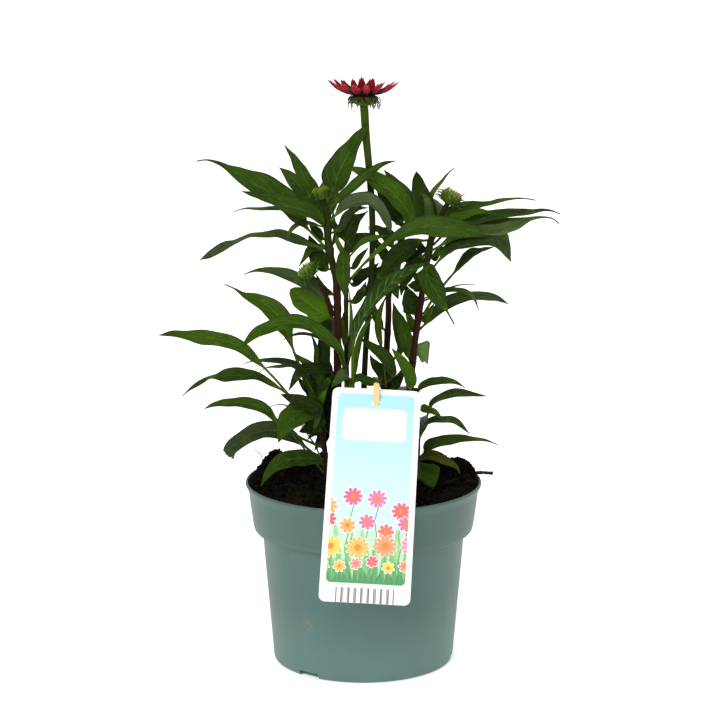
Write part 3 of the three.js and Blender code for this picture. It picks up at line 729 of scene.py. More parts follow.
@dataclass
class Leaf:
    """One blade on its stalk, pointed or torn off at its end."""

    line: Ribbon
    half: Array
    seed: int
    shape: LeafShape
    veins: Veins = Veins()

    def skin(self, skin: Skin) -> None:
        """Adds the leaf to a mesh.

        Args:
            skin: The mesh.
        """
        tone = np.random.default_rng(self.seed).uniform(0.3, 0.8)
        rng = np.random.default_rng(self.seed)
        shape = self.shape
        share = np.linspace(0, 1, len(self.half))[:, None]
        if shape.rounded:
            end = np.clip((share[:, 0] - 1) / shape.rounded + 1, 0, 1)
            self.half = self.half * np.sqrt(1 - 0.96 * end ** 2)
        steps = np.linspace(-1, 1, shape.columns)
        across = (np.sign(steps) * np.abs(steps) ** 1.25)[None, :]
        out = np.abs(across)
        blade = smooth((self.half - shape.stalk) / shape.flare)[:, None]
        foot = share[np.argmax(blade[:, 0] > 0.05), 0]
        opened = np.clip((share - foot) / (1 - foot), 0, 1)
        line = self.line.twisted(shape.twist * rng.uniform(-1, 1) * opened[:, 0] ** 1.5)
        left = across < 0
        half = self.half[:, None] * (1 + shape.ragged * blade * self._ripple(rng, opened, left))
        fold = np.radians(shape.fold) * (1.25 - 0.7 * opened) * blade * rng.uniform(0.5, 1.3)
        rise = half * np.sin(fold) * (np.sqrt(out ** 2 + 0.03) - 0.17)
        waved = out ** 2 * blade * self._ripple(rng, opened, left) * opened ** 0.3
        rise = rise + shape.wave * self.half.max() * waved
        veins = smooth(1 - self.veins.away(opened, out) / 0.3) * np.minimum(1, (1 - out) * 3)
        pillow = shape.pillow * blade * (half / 0.009) * (0.4 - veins) * (1 - out ** 3)
        rib = shape.midrib * (1 - 0.75 * opened)
        span = out * half / rib
        groove = 0.35 * rib * blade * np.exp(-(span ** 2))
        depth = shape.thickness * np.sqrt(1 - 0.9 * out ** 2)
        keel = np.sqrt(np.clip(1 - out ** 2, 0, 1))
        depth = depth + 1.5 * rib * np.exp(-((span / 1.1) ** 2)) * keel
        upper = rise + pillow - groove
        pointed = self.half[-1] == self.half.min()
        taper = smooth((1 - share) / 0.02) if pointed else np.ones_like(share)
        stalk = (1 - blade) * (share < 0.8) + 0.6 * blade * smooth(1 - opened / 0.12)
        sheet = Sheet(line, half * np.cos(fold) * across * taper, upper * taper, depth * taper)
        if not pointed:
            sheet.shift = shape.torn * rng.normal(size=across.shape) * smooth((share - 0.9) / 0.1)
        sheet.add(skin, opened, across, tone, stalk, line.length * 10)

    @staticmethod
    def _ripple(rng: Rng, along: Array, left: Array) -> Array:
        """Random slow waves along the blade.

        Args:
            rng: Source of the waves.
            along: Share of the way along the blade.
            left: True in the columns left of the midrib, which get waves of their own.

        Returns:
            The waves at each station and column.
        """
        waves = []
        for _ in range(2):
            slow, fast = rng.uniform(1.0, 2.2), rng.uniform(3.0, 4.6)
            first, second = rng.uniform(0, 2 * np.pi, 2)
            swing = 2 * np.pi * along
            waves.append(0.75 * np.sin(slow * swing + first) + 0.35 * np.sin(fast * swing + second))
        return np.where(left, waves[0], waves[1])


@dataclass(frozen=True)
class SmallLeaf:
    """A leaf that only the looks have: its foot's height on the stem, width, roll in degrees, three
    numbers for each point from there to the tip, the stalk's share of its length, and how its width
    falls off to the tip."""

    height: float
    width: float
    roll: float
    points: Sequence[float]
    # Most small leaves fill the plant's dark inside and keep DARK, which is partly painted shade.
    shade: Shade = Shade.DARK
    stalk: float = 0.12
    blunt: float = 1.1


SMALL_ROWS: dict[str, tuple[tuple, ...]] = {
    "left_stem": (
        (356, 7, 25, (-50, 4, 368, -60, 8, 369, -81, 14, 368, -95, 18, 368, -106, 22, 364), Shade.PLAIN),
        (366, 17, 55, (-41, 12, 377, -52, 18, 387, -61, 24, 395, -68, 28, 400), Shade.PLAIN),
        (356, 8, 20, (-42, -10, 360, -52, -16, 360, -58, -18, 355, -61, -20, 347), Shade.FRESH),
        (368, 6, 20, (-22, 14, 373, -12, 12, 378, 5, 14, 383), Shade.FRESH),
        (372, 11, 45, (-23, -4, 376, -14, -5, 384, -4, -6, 392, 13, -7, 406, 26, -8, 410), Shade.PLAIN),
        (230, 12, 40, (-24, -8, 237, -33, -14, 243, -49, -22, 244, -60, -28, 228)),
        (322, 16, 60, (-29, 6, 321, -33, 10, 325, -38, 14, 332, -44, 18, 347)),
        (236, 9, 85, (-24, -2, 233, -27, -4, 237, -29, -6, 242)),
        (346, 9, 45, (-34, 4, 346, -39, 6, 353, -44, 8, 360)),
        (338, 7, 75, (-36, 8, 338, -42, 9, 337, -46, 10, 331, -52, 10, 322)),
        (338, 6, -5, (-21, 10, 349, -24, 12, 358, -24, 12, 368)),
        (350, 8, 55, (-18, 8, 354, -13, 10, 363, -5, 10, 369, 4, 8, 370), Shade.DUSK),
        (300, 7, 35, (-31, 10, 302, -35, 12, 308, -38, 13, 316)),
    ),
    "thin_stem": (
        (330, 13, 0, (-15, -1, 335, -16, -6, 328, -16, -8, 318, -14, -9, 298), Shade.PLAIN),
        (330, 9, 35, (-5, 2, 339, 4, -2, 346, 20, -3, 350), Shade.FRESH),
        (329, 12, 60, (-12, 8, 336, -8, 9, 342, -1, 10, 346, 8, 10, 349)),
        (326, 5, 105, (-16, 3, 334, -20, 1, 342, -23, -1, 353), Shade.FRESH),
        (262, 8, 130, (-14, 2, 261, -16, 3, 268, -17, 4, 276, -16, 4, 286)),
        (312, 12, 45, (-8, 8, 308, -1, 11, 314, 6, 13, 319, 13, 14, 325)),
        (322, 6, 50, (-8, 12, 321, -3, 13, 329, 4, 14, 337)),
        (236, 4, 140, (-11, 6, 251, -10, 8, 267, -10, 8, 287, -12, 6, 306), Shade.PLAIN),
        (294, 8, 65, (-6, 8, 295, -1, 10, 302, 2, 11, 310)),
    ),
    "middle_stem": (
        (354, 14, 60, (33, 17, 376, 25, 19, 388, 16, 22, 399), Shade.DULL),
        (225, 12, 90, (24, 5, 233, 21, 2, 242, 16, 0, 251, 6, -2, 260, -4, -2, 267), Shade.PLAIN, 0.2),
        (342, 10, 30, (24, 16, 346, 14, 16, 350, 3, 16, 352)),
        (334, 10, 55, (18, 12, 346, 11, 12, 353, 3, 12, 354)),
        (350, 20, 35, (24, 18, 367, 20, 20, 374, 14, 22, 383, 11, 24, 392)),
        (220, 13, 30, (22, 24, 224, 16, 26, 231, 9, 26, 239, 5, 26, 247)),
        (222, 6.5, 150, (18, 2, 228, 15, 2, 254, 12, 0, 272, 13, -2, 287, 18, -4, 301), Shade.FRESH, 0.5),
        (336, 13, 65, (31, 12, 331, 39, 11, 331, 45, 10, 328, 52, 9, 325)),
        (326, 14, 75, (20, 14, 324, 16, 15, 317, 8, 16, 307, 0, 16, 296)),
        (306, 9, 30, (23, 10, 310, 25, 8, 304, 28, 6, 296)),
        (326, 9, 60, (19, 16, 326, 15, 17, 333, 11, 17, 340, 10, 17, 346)),
        (240, 7, 50, (30, 18, 252, 28, 18, 265, 25, 18, 279, 24, 18, 292), Shade.PLAIN),
        (268, 8, 80, (13, 14, 274, 9, 14, 284, 8, 13, 294), Shade.PLAIN),
        (224, 8, 75, (13, 14, 234, 8, 14, 242, 5, 13, 250)),
        (214, 9, 65, (26, 16, 224, 30, 16, 231, 33, 15, 240)),
    ),
    "right_stem": (
        (352, 9, 115, (52, -9, 368, 51, -12, 376, 48, -13, 383, 44, -12, 385), Shade.DULL),
        (346, 4.5, 50, (53, 8, 377, 63, 10, 392, 68, 11, 398, 73, 12, 402), Shade.DULL),
        (296, 8, 25, (65, -2, 304, 76, -5, 305, 83, -8, 304, 88, -10, 300, 92, -12, 290), Shade.FRESH),
        (298, 3, 15, (70, 6, 306, 80, 8, 308, 90, 9, 308), Shade.DULL),
        (250, 14, 68, (42, 8, 252, 47, 10, 252, 53, 12, 250), Shade.PALE, 0.2, 0.12),
        (222, 12, 105, (38, -8, 228, 36, -11, 239, 30, -13, 250, 22, -14, 261), Shade.FRESH),
        (246, 13, 40, (37, 5, 247, 35, 7, 254, 33, 8, 267, 28, 9, 280, 24, 9, 293), Shade.PLAIN),
        (336, 12, 95, (42, 9, 325, 37, 11, 318, 32, 12, 308, 30, 12, 297)),
        (352, 8, 50, (70, -2, 363, 80, -4, 366, 91, -4, 369, 106, -4, 367), Shade.FRESH),
        (331, 10, 55, (66, -4, 338, 73, -6, 343, 81, -8, 347, 92, -10, 348, 101, -12, 345), Shade.PLAIN),
        (320, 15, 80, (44, 8, 308, 40, 9, 307, 35, 10, 307)),
        (284, 8, 40, (41, 8, 271, 37, 9, 280, 33, 9, 290), Shade.FRESH),
        (284, 7, 40, (49, 6, 278, 53, 7, 286, 57, 8, 293), Shade.FRESH),
        (352, 13, 60, (65, 8, 350, 89, 9, 352, 107, 9, 349, 114, 8, 342, 118, 6, 331), Shade.DULL, 0.35),
        (358, 6, 50, (73, 8, 359, 97, 9, 358, 118, 9, 360, 138, 8, 363), Shade.DARK, 0.3),
        (352, 8, 60, (45, 14, 353, 33, 15, 355, 24, 15, 356)),
        (334, 6, 40, (56, 6, 329, 60, 7, 336, 64, 8, 341)),
        (338, 9, 30, (48, 12, 334, 44, 14, 340, 40, 15, 344)),
    ),
    "front_shoot": (
        (230, 12, 20,
         (-17, -16, 252, -25, -18, 264, -42, -24, 273, -55, -28, 274, -65, -32, 270), Shade.FRESH),
        (228, 6, 40, (-7, -10, 240, -5, -6, 256, 0, -6, 274, 12, -6, 291), Shade.FRESH),
        (234, 11, 35, (-14, -22, 241, -19, -26, 238, -26, -30, 232), Shade.DULL),
        (230, 9, 55, (-4, -10, 235, 4, -8, 232, 17, -6, 229), Shade.PLAIN),
    ),
    "crown_left_shoot": (
        (218, 10, 25, (-51, -4, 242, -67, -8, 248, -84, -12, 250, -97, -15, 248)),
        (220, 8, 15, (-52, 16, 237, -68, 20, 238, -80, 24, 236, -87, 26, 230)),
        (196, 3, 10, (-50, 10, 202, -66, 14, 208, -78, 16, 205, -85, 16, 201)),
        (158, 3, 10, (-38, -3, 176, -44, -5, 186, -50, -8, 197)),
        (156, 3, 10, (-47, -6, 175, -58, -10, 190, -62, -12, 196)),
        (220, 12, 5, (-29, 2, 236, -32, 8, 244, -32, 12, 254, -30, 16, 269, -27, 18, 295)),
        (219, 9, 65, (-34, -8, 232, -40, -9, 242, -48, -10, 249, -57, -12, 257), Shade.FRESH),
        (200, 13, 80, (-36, -20, 211, -45, -27, 218, -55, -35, 224, -66, -40, 229)),
        (192, 15, 65, (-34, -14, 198, -42, -17, 196, -52, -20, 193)),
        (217, 9, 95, (-32, -12, 227, -28, -14, 234, -25, -16, 239)),
        (214, 11, 15, (-37, -4, 224, -41, -2, 229, -42, 0, 235)),
        (216, 10, -10, (-34, 2, 224, -35, 4, 230, -34, 6, 236)),
        (208, 6, 120, (-34, -16, 218, -31, -18, 225, -28, -18, 230), Shade.FRESH),
        (208, 5, 30, (-36, -18, 208, -38, -22, 200, -41, -24, 193), Shade.PLAIN),
        (204, 4.5, 65, (-36, -17, 216, -40, -20, 218, -46, -22, 215), Shade.FRESH),
        (212, 14, 150, (-34, 4, 212, -31, 6, 201, -30, 6, 187, -32, 4, 175)),
        (208, 13, 125, (-40, 4, 204, -42, 6, 195, -42, 6, 183)),
        (212, 12, 5, (-30, 8, 215, -27, 10, 222, -26, 11, 231, -28, 11, 238)),
        (196, 10, 130, (-30, 8, 198, -28, 9, 190, -27, 9, 179)),
        (206, 15, 100, (-37, 6, 200, -43, 8, 193, -50, 9, 186)),
        (208, 15, 85, (-39, 10, 206, -48, 13, 201, -56, 15, 195)),
        (214, 9, 35, (-39, 2, 221, -45, 0, 229, -51, -2, 236), Shade.FRESH),
        (213, 12, 0, (-38, 10, 222, -42, 13, 229, -45, 15, 237)),
        (214, 12, 20, (-34, 12, 222, -34, 15, 230, -36, 17, 239)),
        (190, 9, 95, (-35, 6, 188, -41, 8, 185, -46, 9, 179)),
        (200, 13, 5, (-30, 8, 203, -28, 10, 212, -26, 11, 222)),
        (184, 11, 120, (-32, 6, 184, -36, 8, 178, -40, 9, 170)),
        (194, 12, 130, (-30, 6, 190, -32, 8, 182, -34, 9, 173)),
        (206, 11, -20, (-30, 7, 212, -28, 7, 219, -27, 7, 226)),
        (210, 10, 20, (-43, 10, 218, -49, 11, 225, -54, 12, 233)),
        (206, 10, 55, (-46, 2, 211, -56, 0, 215, -66, -2, 219), Shade.DARK, 0.3),
        (216, 5, 0, (-38, 6, 246, -38, 7, 254, -40, 8, 262, -43, 8, 268), Shade.PLAIN, 0.4),
    ),
    "crown_right_shoot": (
        (214, 8, 50, (46, 10, 223, 55, 12, 227, 65, 14, 228, 75, 15, 226, 83, 16, 221), Shade.PLAIN),
        (200, 8, 35, (46, 2, 208, 51, -6, 208, 58, -12, 207, 64, -17, 201), Shade.FRESH),
        (180, 12, 25, (51, -5, 196, 62, -9, 200, 74, -13, 200, 86, -16, 190), Shade.PLAIN),
        (156, 11, 40, (47, 4, 165, 54, 0, 168, 63, -6, 167, 74, -12, 163, 78, -16, 157), Shade.OLIVE),
        (148, 13.5, 58, (44, 0, 155, 52, -10, 156, 60, -20, 154), Shade.FRESH, 0.1, 0.12),
    ),
}
SMALL_LEAVES = {stem: [SmallLeaf(*row) for row in rows] for stem, rows in SMALL_ROWS.items()}


def layers_from(start: list[bmesh.types.BMVert]) -> list[list[bmesh.types.BMVert]]:
    """Sorts a mesh's vertices into layers.

    Args:
        start: Vertices of the first layer.

    Returns:
        The layers, each next to the one before.
    """
    layer, seen, layers = start, set(start), []
    while layer:
        layers.append(layer)
        around = {e.other_vert(v) for v in layer for e in v.link_edges} - seen
        seen |= around
        layer = sorted(around, key=lambda v: v.index)
    return layers


def leaf_rings(node: str, stem: "Stem") -> list[Array]:
    """A leaf node's sections.

    Args:
        node: The leaf's node.
        stem: The stem that it grows on.

    Returns:
        Its rings of four vertices from the stalk's foot on, and a single vertex for a pointed tip.
    """
    mesh = merged(node)
    tips = [v for v in mesh.verts if len(v.link_edges) == 4]
    tips.sort(key=lambda v: -min(e.calc_length() for e in v.link_edges))
    starts = [[v] for v in tips]
    starts += [sorted(mesh.verts, key=lambda v: (v.co - s.co).length)[:4] for s in mesh.verts]
    for start in starts:
        layers = layers_from(start)
        if all(len(layer) == 4 for layer in layers[1:]):
            break
    else:
        raise ValueError(f"{node} isn't a loft of four-sided sections")
    rings = [np.array([v.co for v in layer]) for layer in layers]
    mesh.free()
    if stem.away(rings[0].mean(axis=0)) > stem.away(rings[-1].mean(axis=0)):
        rings.reverse()
    return rings


class LeafSet:
    """All the leaves, those of the frame and the small ones between them."""

    FOLDED = math.cos(math.radians(14))
    ROUNDED = ("left_stem_leaf_8",)
    FIRST_SEED = 100
    SUNK = 0.0012
    WIDEST = 0.36
    THINNEST = 0.0006

    def __init__(self, stems: "StemSet") -> None:
        """Keeps the stems, from which the leaves start, and makes the finishes."""
        self.stems = stems
        self.materials = {shade: shade.value.material(f"leaf_{shade.name.lower()}") for shade in Shade}

    def from_node(self, node: str, seed: int, shape: LeafShape) -> Leaf:
        """A leaf on the midrib, width and roll of a node.

        Args:
            node: The leaf's node.
            seed: Seed of its folds.
            shape: Its shape.

        Returns:
            The leaf.
        """
        rings = leaf_rings(node, self.stems.of_leaf(node))
        tip = rings.pop()[0] if len(rings[-1]) == 1 else None
        middle, side, face = (np.array(part) for part in zip(*(self._split(ring) for ring in rings)))
        half = np.linalg.norm(side, axis=1) / self.FOLDED
        widest = int(half.argmax())
        side, face = unit(side), unit(face)
        for step, start in ((-1, widest), (1, widest)):
            stop = -1 if step < 0 else len(rings)
            for k in range(start + step, stop, step):
                if half[k] < shape.stalk:
                    side[k], face[k] = side[k - step], face[k - step]
                elif side[k] @ side[k - step] < -0.5:
                    side[k] = -side[k]
        if tip is not None:
            middle = np.vstack([middle, tip])
            side, face = np.vstack([side, side[-1]]), np.vstack([face, face[-1]])
            half = np.append(half, 0.0)
        middle[0] -= unit(middle[1] - middle[0]) * self.SUNK
        count = shape.stations
        line = Ribbon(resample(middle, count), unit(resample(side, count)), unit(resample(face, count)))
        line.face = unit(line.face - line.along * np.sum(line.face * line.along, axis=1, keepdims=True))
        line.side = np.cross(line.face, line.along)
        return Leaf(line, np.clip(resample(half, count), self.THINNEST, None), seed, shape)

    @staticmethod
    def _split(ring: Array) -> tuple[Array, Array, Array]:
        """Reads a section of a leaf.

        Args:
            ring: Its four vertices.

        Returns:
            Its middle, half its width as a vector, and its upper direction.
        """
        gaps = np.linalg.norm(ring[:, None] - ring[None], axis=-1)
        first, second = np.unravel_index(gaps.argmax(), gaps.shape)
        rest = [i for i in range(len(ring)) if i not in (first, second)]
        between = ring[rest].mean(axis=0)
        edges = (ring[first] + ring[second]) / 2
        side = (ring[first] - ring[second]) / 2
        if side[0] < 0:
            side = -side
        return between, side, edges - between

    def small(self, stem: str, row: SmallLeaf, seed: int) -> Leaf:
        """A small leaf.

        Args:
            stem: The stem that it grows on.
            row: Its sizes.
            seed: Seed of its folds.

        Returns:
            The leaf.
        """
        shape = LeafShape(stations=36, columns=11, thickness=0.0003, midrib=0.0006, torn=0.0004)
        points = np.reshape(row.points, (-1, 3)) * MM
        foot = self.stems.stems[stem].foot_of(row.height * MM, points[0])
        line = Ribbon.through(np.vstack([foot, points]), shape.stations, row.roll)
        share = np.linspace(0, 1, shape.stations)
        opened = np.clip((share - row.stalk) / (1 - row.stalk), 0, 1)
        outline = (opened / self.WIDEST) ** 0.6 * ((1 - opened) / (1 - self.WIDEST)) ** row.blunt
        stalk = min(0.001, row.width / 5 * MM) * (1 - 0.5 * share)
        return Leaf(line, np.maximum(row.width / 2 * MM * outline, stalk), seed, shape)

    def build(self) -> None:
        """Makes every leaf."""
        nodes = sorted(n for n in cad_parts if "_leaf_" in n)
        for seed, node in enumerate(nodes):
            skin = Skin()
            shape = LeafShape(torn=0.0, rounded=0.16) if node in self.ROUNDED else LeafShape()
            self.from_node(node, seed, shape).skin(skin)
            shade = next((shade for shade, nodes in SHADED.items() if node in nodes), Shade.PLAIN)
            settle(skin.build(node.replace("_leaf_", "_blade_"), self.materials[shade]), "leaf", node)
        for stem, rows in SMALL_LEAVES.items():
            for index, row in enumerate(rows):
                skin = Skin()
                self.small(stem, row, self.FIRST_SEED + 10 * len(stem) + index).skin(skin)
                settle(skin.build(f"{stem}_small_leaf_{index + 1}", self.materials[row.shade]), "leaf")


# ---- stems


@dataclass(frozen=True)
class StemFinish:
    """Ribbed stem, its colour going from foot to top, with fine pale streaks."""

    name: str
    foot: str
    middle: str
    top: str
    streak: str
    turns: Pair = (0.62, 0.9)

    def material(self) -> Material:
        """Makes the stems' material.

        Returns:
            The material.
        """
        g = Graph(self.name)
        along, around, _ = g.attribute("place")
        place = g.place()
        streaks = g.noise(g.vector(around * 9.0, along * 3.0, 0.0), 3.0)
        specks = g.noise(place, 900.0, 2.0)
        base = g.ramp(along, (0.0, self.foot), (self.turns[0], self.middle), (self.turns[1], self.top))
        base = g.mix(streaks.fade(0.45, 0.8) * 0.4, base, self.streak)
        base = g.mix(specks.fade(0.62, 0.76) * 0.25, base, "#7a6f48")
        relief = streaks * 0.6 + specks * 0.4
        return g.finish(base, 0.55 + specks * 0.2, relief, 0.0003, Specular_IOR_Level=0.06)


@dataclass
class Stem:
    """A stem on the centre line and radii of a node."""

    name: str
    centre: Array
    radius: Array

    SIDES = 8
    SPACING = 0.002
    SWELLING = 0.12

    @classmethod
    def from_node(cls, name: str) -> "Stem":
        """The stem on a node, whose rings lie one above the other."""
        return cls(name, *centre_line(name, cls.SIDES, 2))

    def at(self, height: float) -> tuple[Array, float]:
        """Centre and radius at a height, in metres."""
        rows = [np.interp(height, self.centre[:, 2], row) for row in (*self.centre.T, self.radius)]
        return np.array(rows[:3]), float(rows[3])

    def away(self, point: Array) -> float:
        """Distance of a point from the centre line.

        Args:
            point: The point.

        Returns:
            The distance.
        """
        starts, steps = self.centre[:-1], np.diff(self.centre, axis=0)
        share = np.clip(np.sum((point - starts) * steps, axis=1) / np.sum(steps ** 2, axis=1), 0, 1)
        return float(np.linalg.norm(starts + steps * share[:, None] - point, axis=1).min())

    def foot_of(self, height: float, towards: Array) -> Array:
        """Where a stalk leaves the stem at a height to go towards a point."""
        centre, radius = self.at(height)
        return centre + unit((towards - centre) * [1, 1, 0]) * radius * 0.6

    @property
    def end(self) -> tuple[Array, Array]:
        """Top of the stem and its direction there."""
        return self.centre[-1], unit(self.centre[-1] - self.centre[-2])

    def build(self, joints: Sequence[float], finish: Material, slot: str, sunk: float) -> None:
        """Makes the stem.

        Args:
            joints: Heights at which leaves leave it.
            finish: Its material.
            slot: Its material slot.
            sunk: How far its foot reaches into the soil or the stem that carries it.
        """
        rows = np.column_stack([self.centre, self.radius])
        first = rows[1] - rows[0]
        rows = np.vstack([rows[0] - first * sunk / np.linalg.norm(first), rows])
        length = np.linalg.norm(np.diff(self.centre, axis=0), axis=1).sum()
        rows = resample(rows, max(24, round(length / self.SPACING)))
        line, radii = rows[:, :3], rows[:, 3].copy()
        for joint in joints:
            radii *= 1 + self.SWELLING * np.exp(-((line[:, 2] - joint + 0.001) / 0.0025) ** 2)
        angle = full_turn(24)
        ribs = 1 + 0.05 * np.cos(8 * angle)[None, :] + 0.02 * np.sin(3 * angle + line[:, 2:] * 160)
        rings = line[:, None] + spokes(line, angle) * (radii[:, None] * ribs)[..., None]
        place = places_along(rings, np.cos(angle) + 0.3 * np.sin(2 * angle))
        skin = Skin()
        skin.loft(rings, place, np.array([0.5, 0, length * 10]))
        settle(skin.build(self.name + "_skin", finish), slot, self.name)


class StemSet:
    """All stems and shoots."""

    GREEN = ("flower_stem", "thin_stem", "front_shoot")
    OLIVE = ("flower_stem", "thin_stem")
    IN_SOIL = 0.006
    IN_STEM = 0.002
    DARK = ("left_stem", "bud_branch", "middle_stem", "right_stem", "crown_left_shoot", "crown_right_shoot")

    def __init__(self) -> None:
        """Reads every stem from the frame."""
        self.stems = {name: Stem.from_node(name) for name in (*self.GREEN, *self.DARK)}

    def of_leaf(self, node: str) -> Stem:
        """The stem that a leaf node grows on."""
        return self.stems[node.rpartition("_leaf_")[0]]

    def joints(self, stem: str) -> list[float]:
        """Heights at which leaves leave a stem, in metres."""
        rings = (leaf_rings(n, self.stems[stem]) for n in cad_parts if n.startswith(stem + "_leaf_"))
        return [r[0].mean(axis=0)[2] for r in rings] + [x.height * MM for x in SMALL_LEAVES.get(stem, ())]

    def build(self) -> None:
        """Makes every stem."""
        flower = StemFinish(
            "flower_stem_green", "#12140a", "#1c2406", "#34440a", "#3e4410", (0.72, 0.97)
        ).material()
        green = StemFinish("shoot_green", "#1c2807", "#2a3d08", "#43600e", "#56701a").material()
        dark = StemFinish("stem_dark", "#1c0e06", "#281409", "#1e2a06", "#4a2c14", (0.72, 0.86)).material()
        for name, stem in self.stems.items():
            slot = "green_stem" if name in self.GREEN else "dark_stem"
            finish = dark if name in self.DARK else green
            if name in self.OLIVE:
                finish = flower
            sunk = self.IN_STEM if name == "bud_branch" else self.IN_SOIL
            stem.build(self.joints(name), finish, slot, sunk)


# ---- flower and buds


@dataclass(frozen=True)
class ScaleFinish:
    """Green bracts and scales, paler and warmer at their tips."""

    name: str
    foot: str
    body: str
    tip: str

    def material(self) -> Material:
        """Makes the bracts' material.

        Returns:
            The material.
        """
        g = Graph(self.name)
        along, across, _ = g.attribute("place")
        tone, _, _ = g.attribute("kind")
        mottle = g.noise(g.place(), 500.0)
        base = g.ramp(along + (mottle - 0.5) * 0.3, (0.0, self.foot), (0.45, self.body), (0.95, self.tip))
        base = g.mix(tone * 0.5, base, self.foot)
        base = g.mix(abs(across).fade(0.25, 0.0) * 0.35, base, self.tip)
        return g.finish(base, 0.55 + (mottle - 0.5) * 0.2, mottle, 0.0002, Specular_IOR_Level=0.1)


@dataclass(frozen=True)
class PetalFinish:
    """Crimson ray floret, near black at its foot from painted shade, with pink streaks that are partly a
    painted sheen, and a thin yellowish edge.
    """

    # Near-black colour of the painted shade at the foot and between the petals.
    foot: str = "#140203"
    body: str = "#5e0109"
    # Pink of the streaks, partly the petal's own and partly a painted sheen.
    pink_streak_and_sheen: str = "#c8485e"
    rim: str = "#b48a56"

    def material(self) -> Material:
        """Makes the petals' material.

        Returns:
            The material.
        """
        g = Graph("petal")
        along, across, upper = g.attribute("place")
        tone, _, _ = g.attribute("kind")
        streaks = g.noise(g.vector(across * 4.0, along * 1.2, tone * 9.0), 4.0)
        # Painted shade: near black at the foot, where the petals sit close under each other.
        base = g.ramp(along, (0.38, self.foot), (0.66, self.body), (0.9, "#840818"))
        # Pink streaks, partly the petal's own colour and partly a painted sheen; stronger below than above.
        rosy = streaks.fade(0.48, 0.62) * along.fade(0.42, 0.8) * (0.9 - upper * 0.5)
        base = g.mix(rosy * (tone * 0.6 + 0.4), base, self.pink_streak_and_sheen)
        edge = abs(across).fade(0.8, 1.0) * along.fade(0.5, 0.9) + along.fade(0.93, 1.0) * 0.8
        base = g.mix(edge * (streaks * 0.7 + 0.05), base, self.rim)
        return g.finish(base, 0.45 + streaks * 0.15, streaks, 0.00012, Specular_IOR_Level=0.05)


@dataclass(frozen=True)
class Scale:
    """A narrow pointed scale: rows of (out, up) from foot to tip, and its width and thickness."""

    rows: Rows
    width: float
    thickness: float = 0.5
    stations: int = 12
    hollow: float = 0.25

    def add(
        self, skin: Skin, base: Array, turn: Array, angle: float, tone: float, size: float = 1.0
    ) -> None:
        """Adds one scale to a whorl.

        Args:
            skin: The mesh.
            base: Middle of the whorl, in metres.
            turn: Rotation from the whorl's axes to the frame's.
            angle: Direction of the scale about the whorl's axis.
            tone: Its tone.
            size: Its scale.
        """
        rows = np.asarray(self.rows, float) * size * MM
        outward = np.array([math.cos(angle), math.sin(angle), 0.0])
        points = rows[:, :1] * outward + rows[:, 1:2] * UP
        centre = evenly(points, self.stations)
        along = unit(np.gradient(centre, axis=0))
        side = np.broadcast_to(np.cross(UP, outward), along.shape)
        face = np.cross(along, side)
        share = np.linspace(0, 1, self.stations)
        half = self.width / 2 * MM * size * np.clip((share + 0.35) ** 0.5 * (1 - share) ** 0.7, 0.02, 1)
        across = np.array([-1, -0.55, 0, 0.55, 1.0])
        depth = self.thickness * MM * size * (1 - 0.8 * share)[:, None] * (1 - 0.8 * across ** 2)
        upper = self.hollow * half[:, None] * across ** 2
        line = Ribbon(centre @ turn.T + base, side @ turn.T, face @ turn.T)
        sheet = Sheet(line, half[:, None] * across, upper, depth)
        sheet.add(skin, share[:, None], across, tone, 0, 0.1)


def turn_to(axis: Array) -> Array:
    """Rotation that takes +Z to an axis."""
    return np.array(Vector((0, 0, 1)).rotation_difference(Vector(axis)).to_matrix())


def dome(skin: Skin, base: Array, turn: Array, profile: Rows, tone: float) -> None:
    """Adds a turned body.

    Args:
        skin: The mesh.
        base: Middle of its foot, in metres.
        turn: Rotation from the body's axes to the frame's.
        profile: Rows of radius and height, in millimetres.
        tone: Its tone.
    """
    rows = resample(np.asarray(profile, float) * MM, DOME_ROWS)
    rows[:, 0] = np.maximum(rows[:, 0], THIN)
    rings = turned(rows, DOME_SIDES)
    skin.loft(rings @ turn.T + base, places_along(rings), np.array([tone, 0, 0.1]))


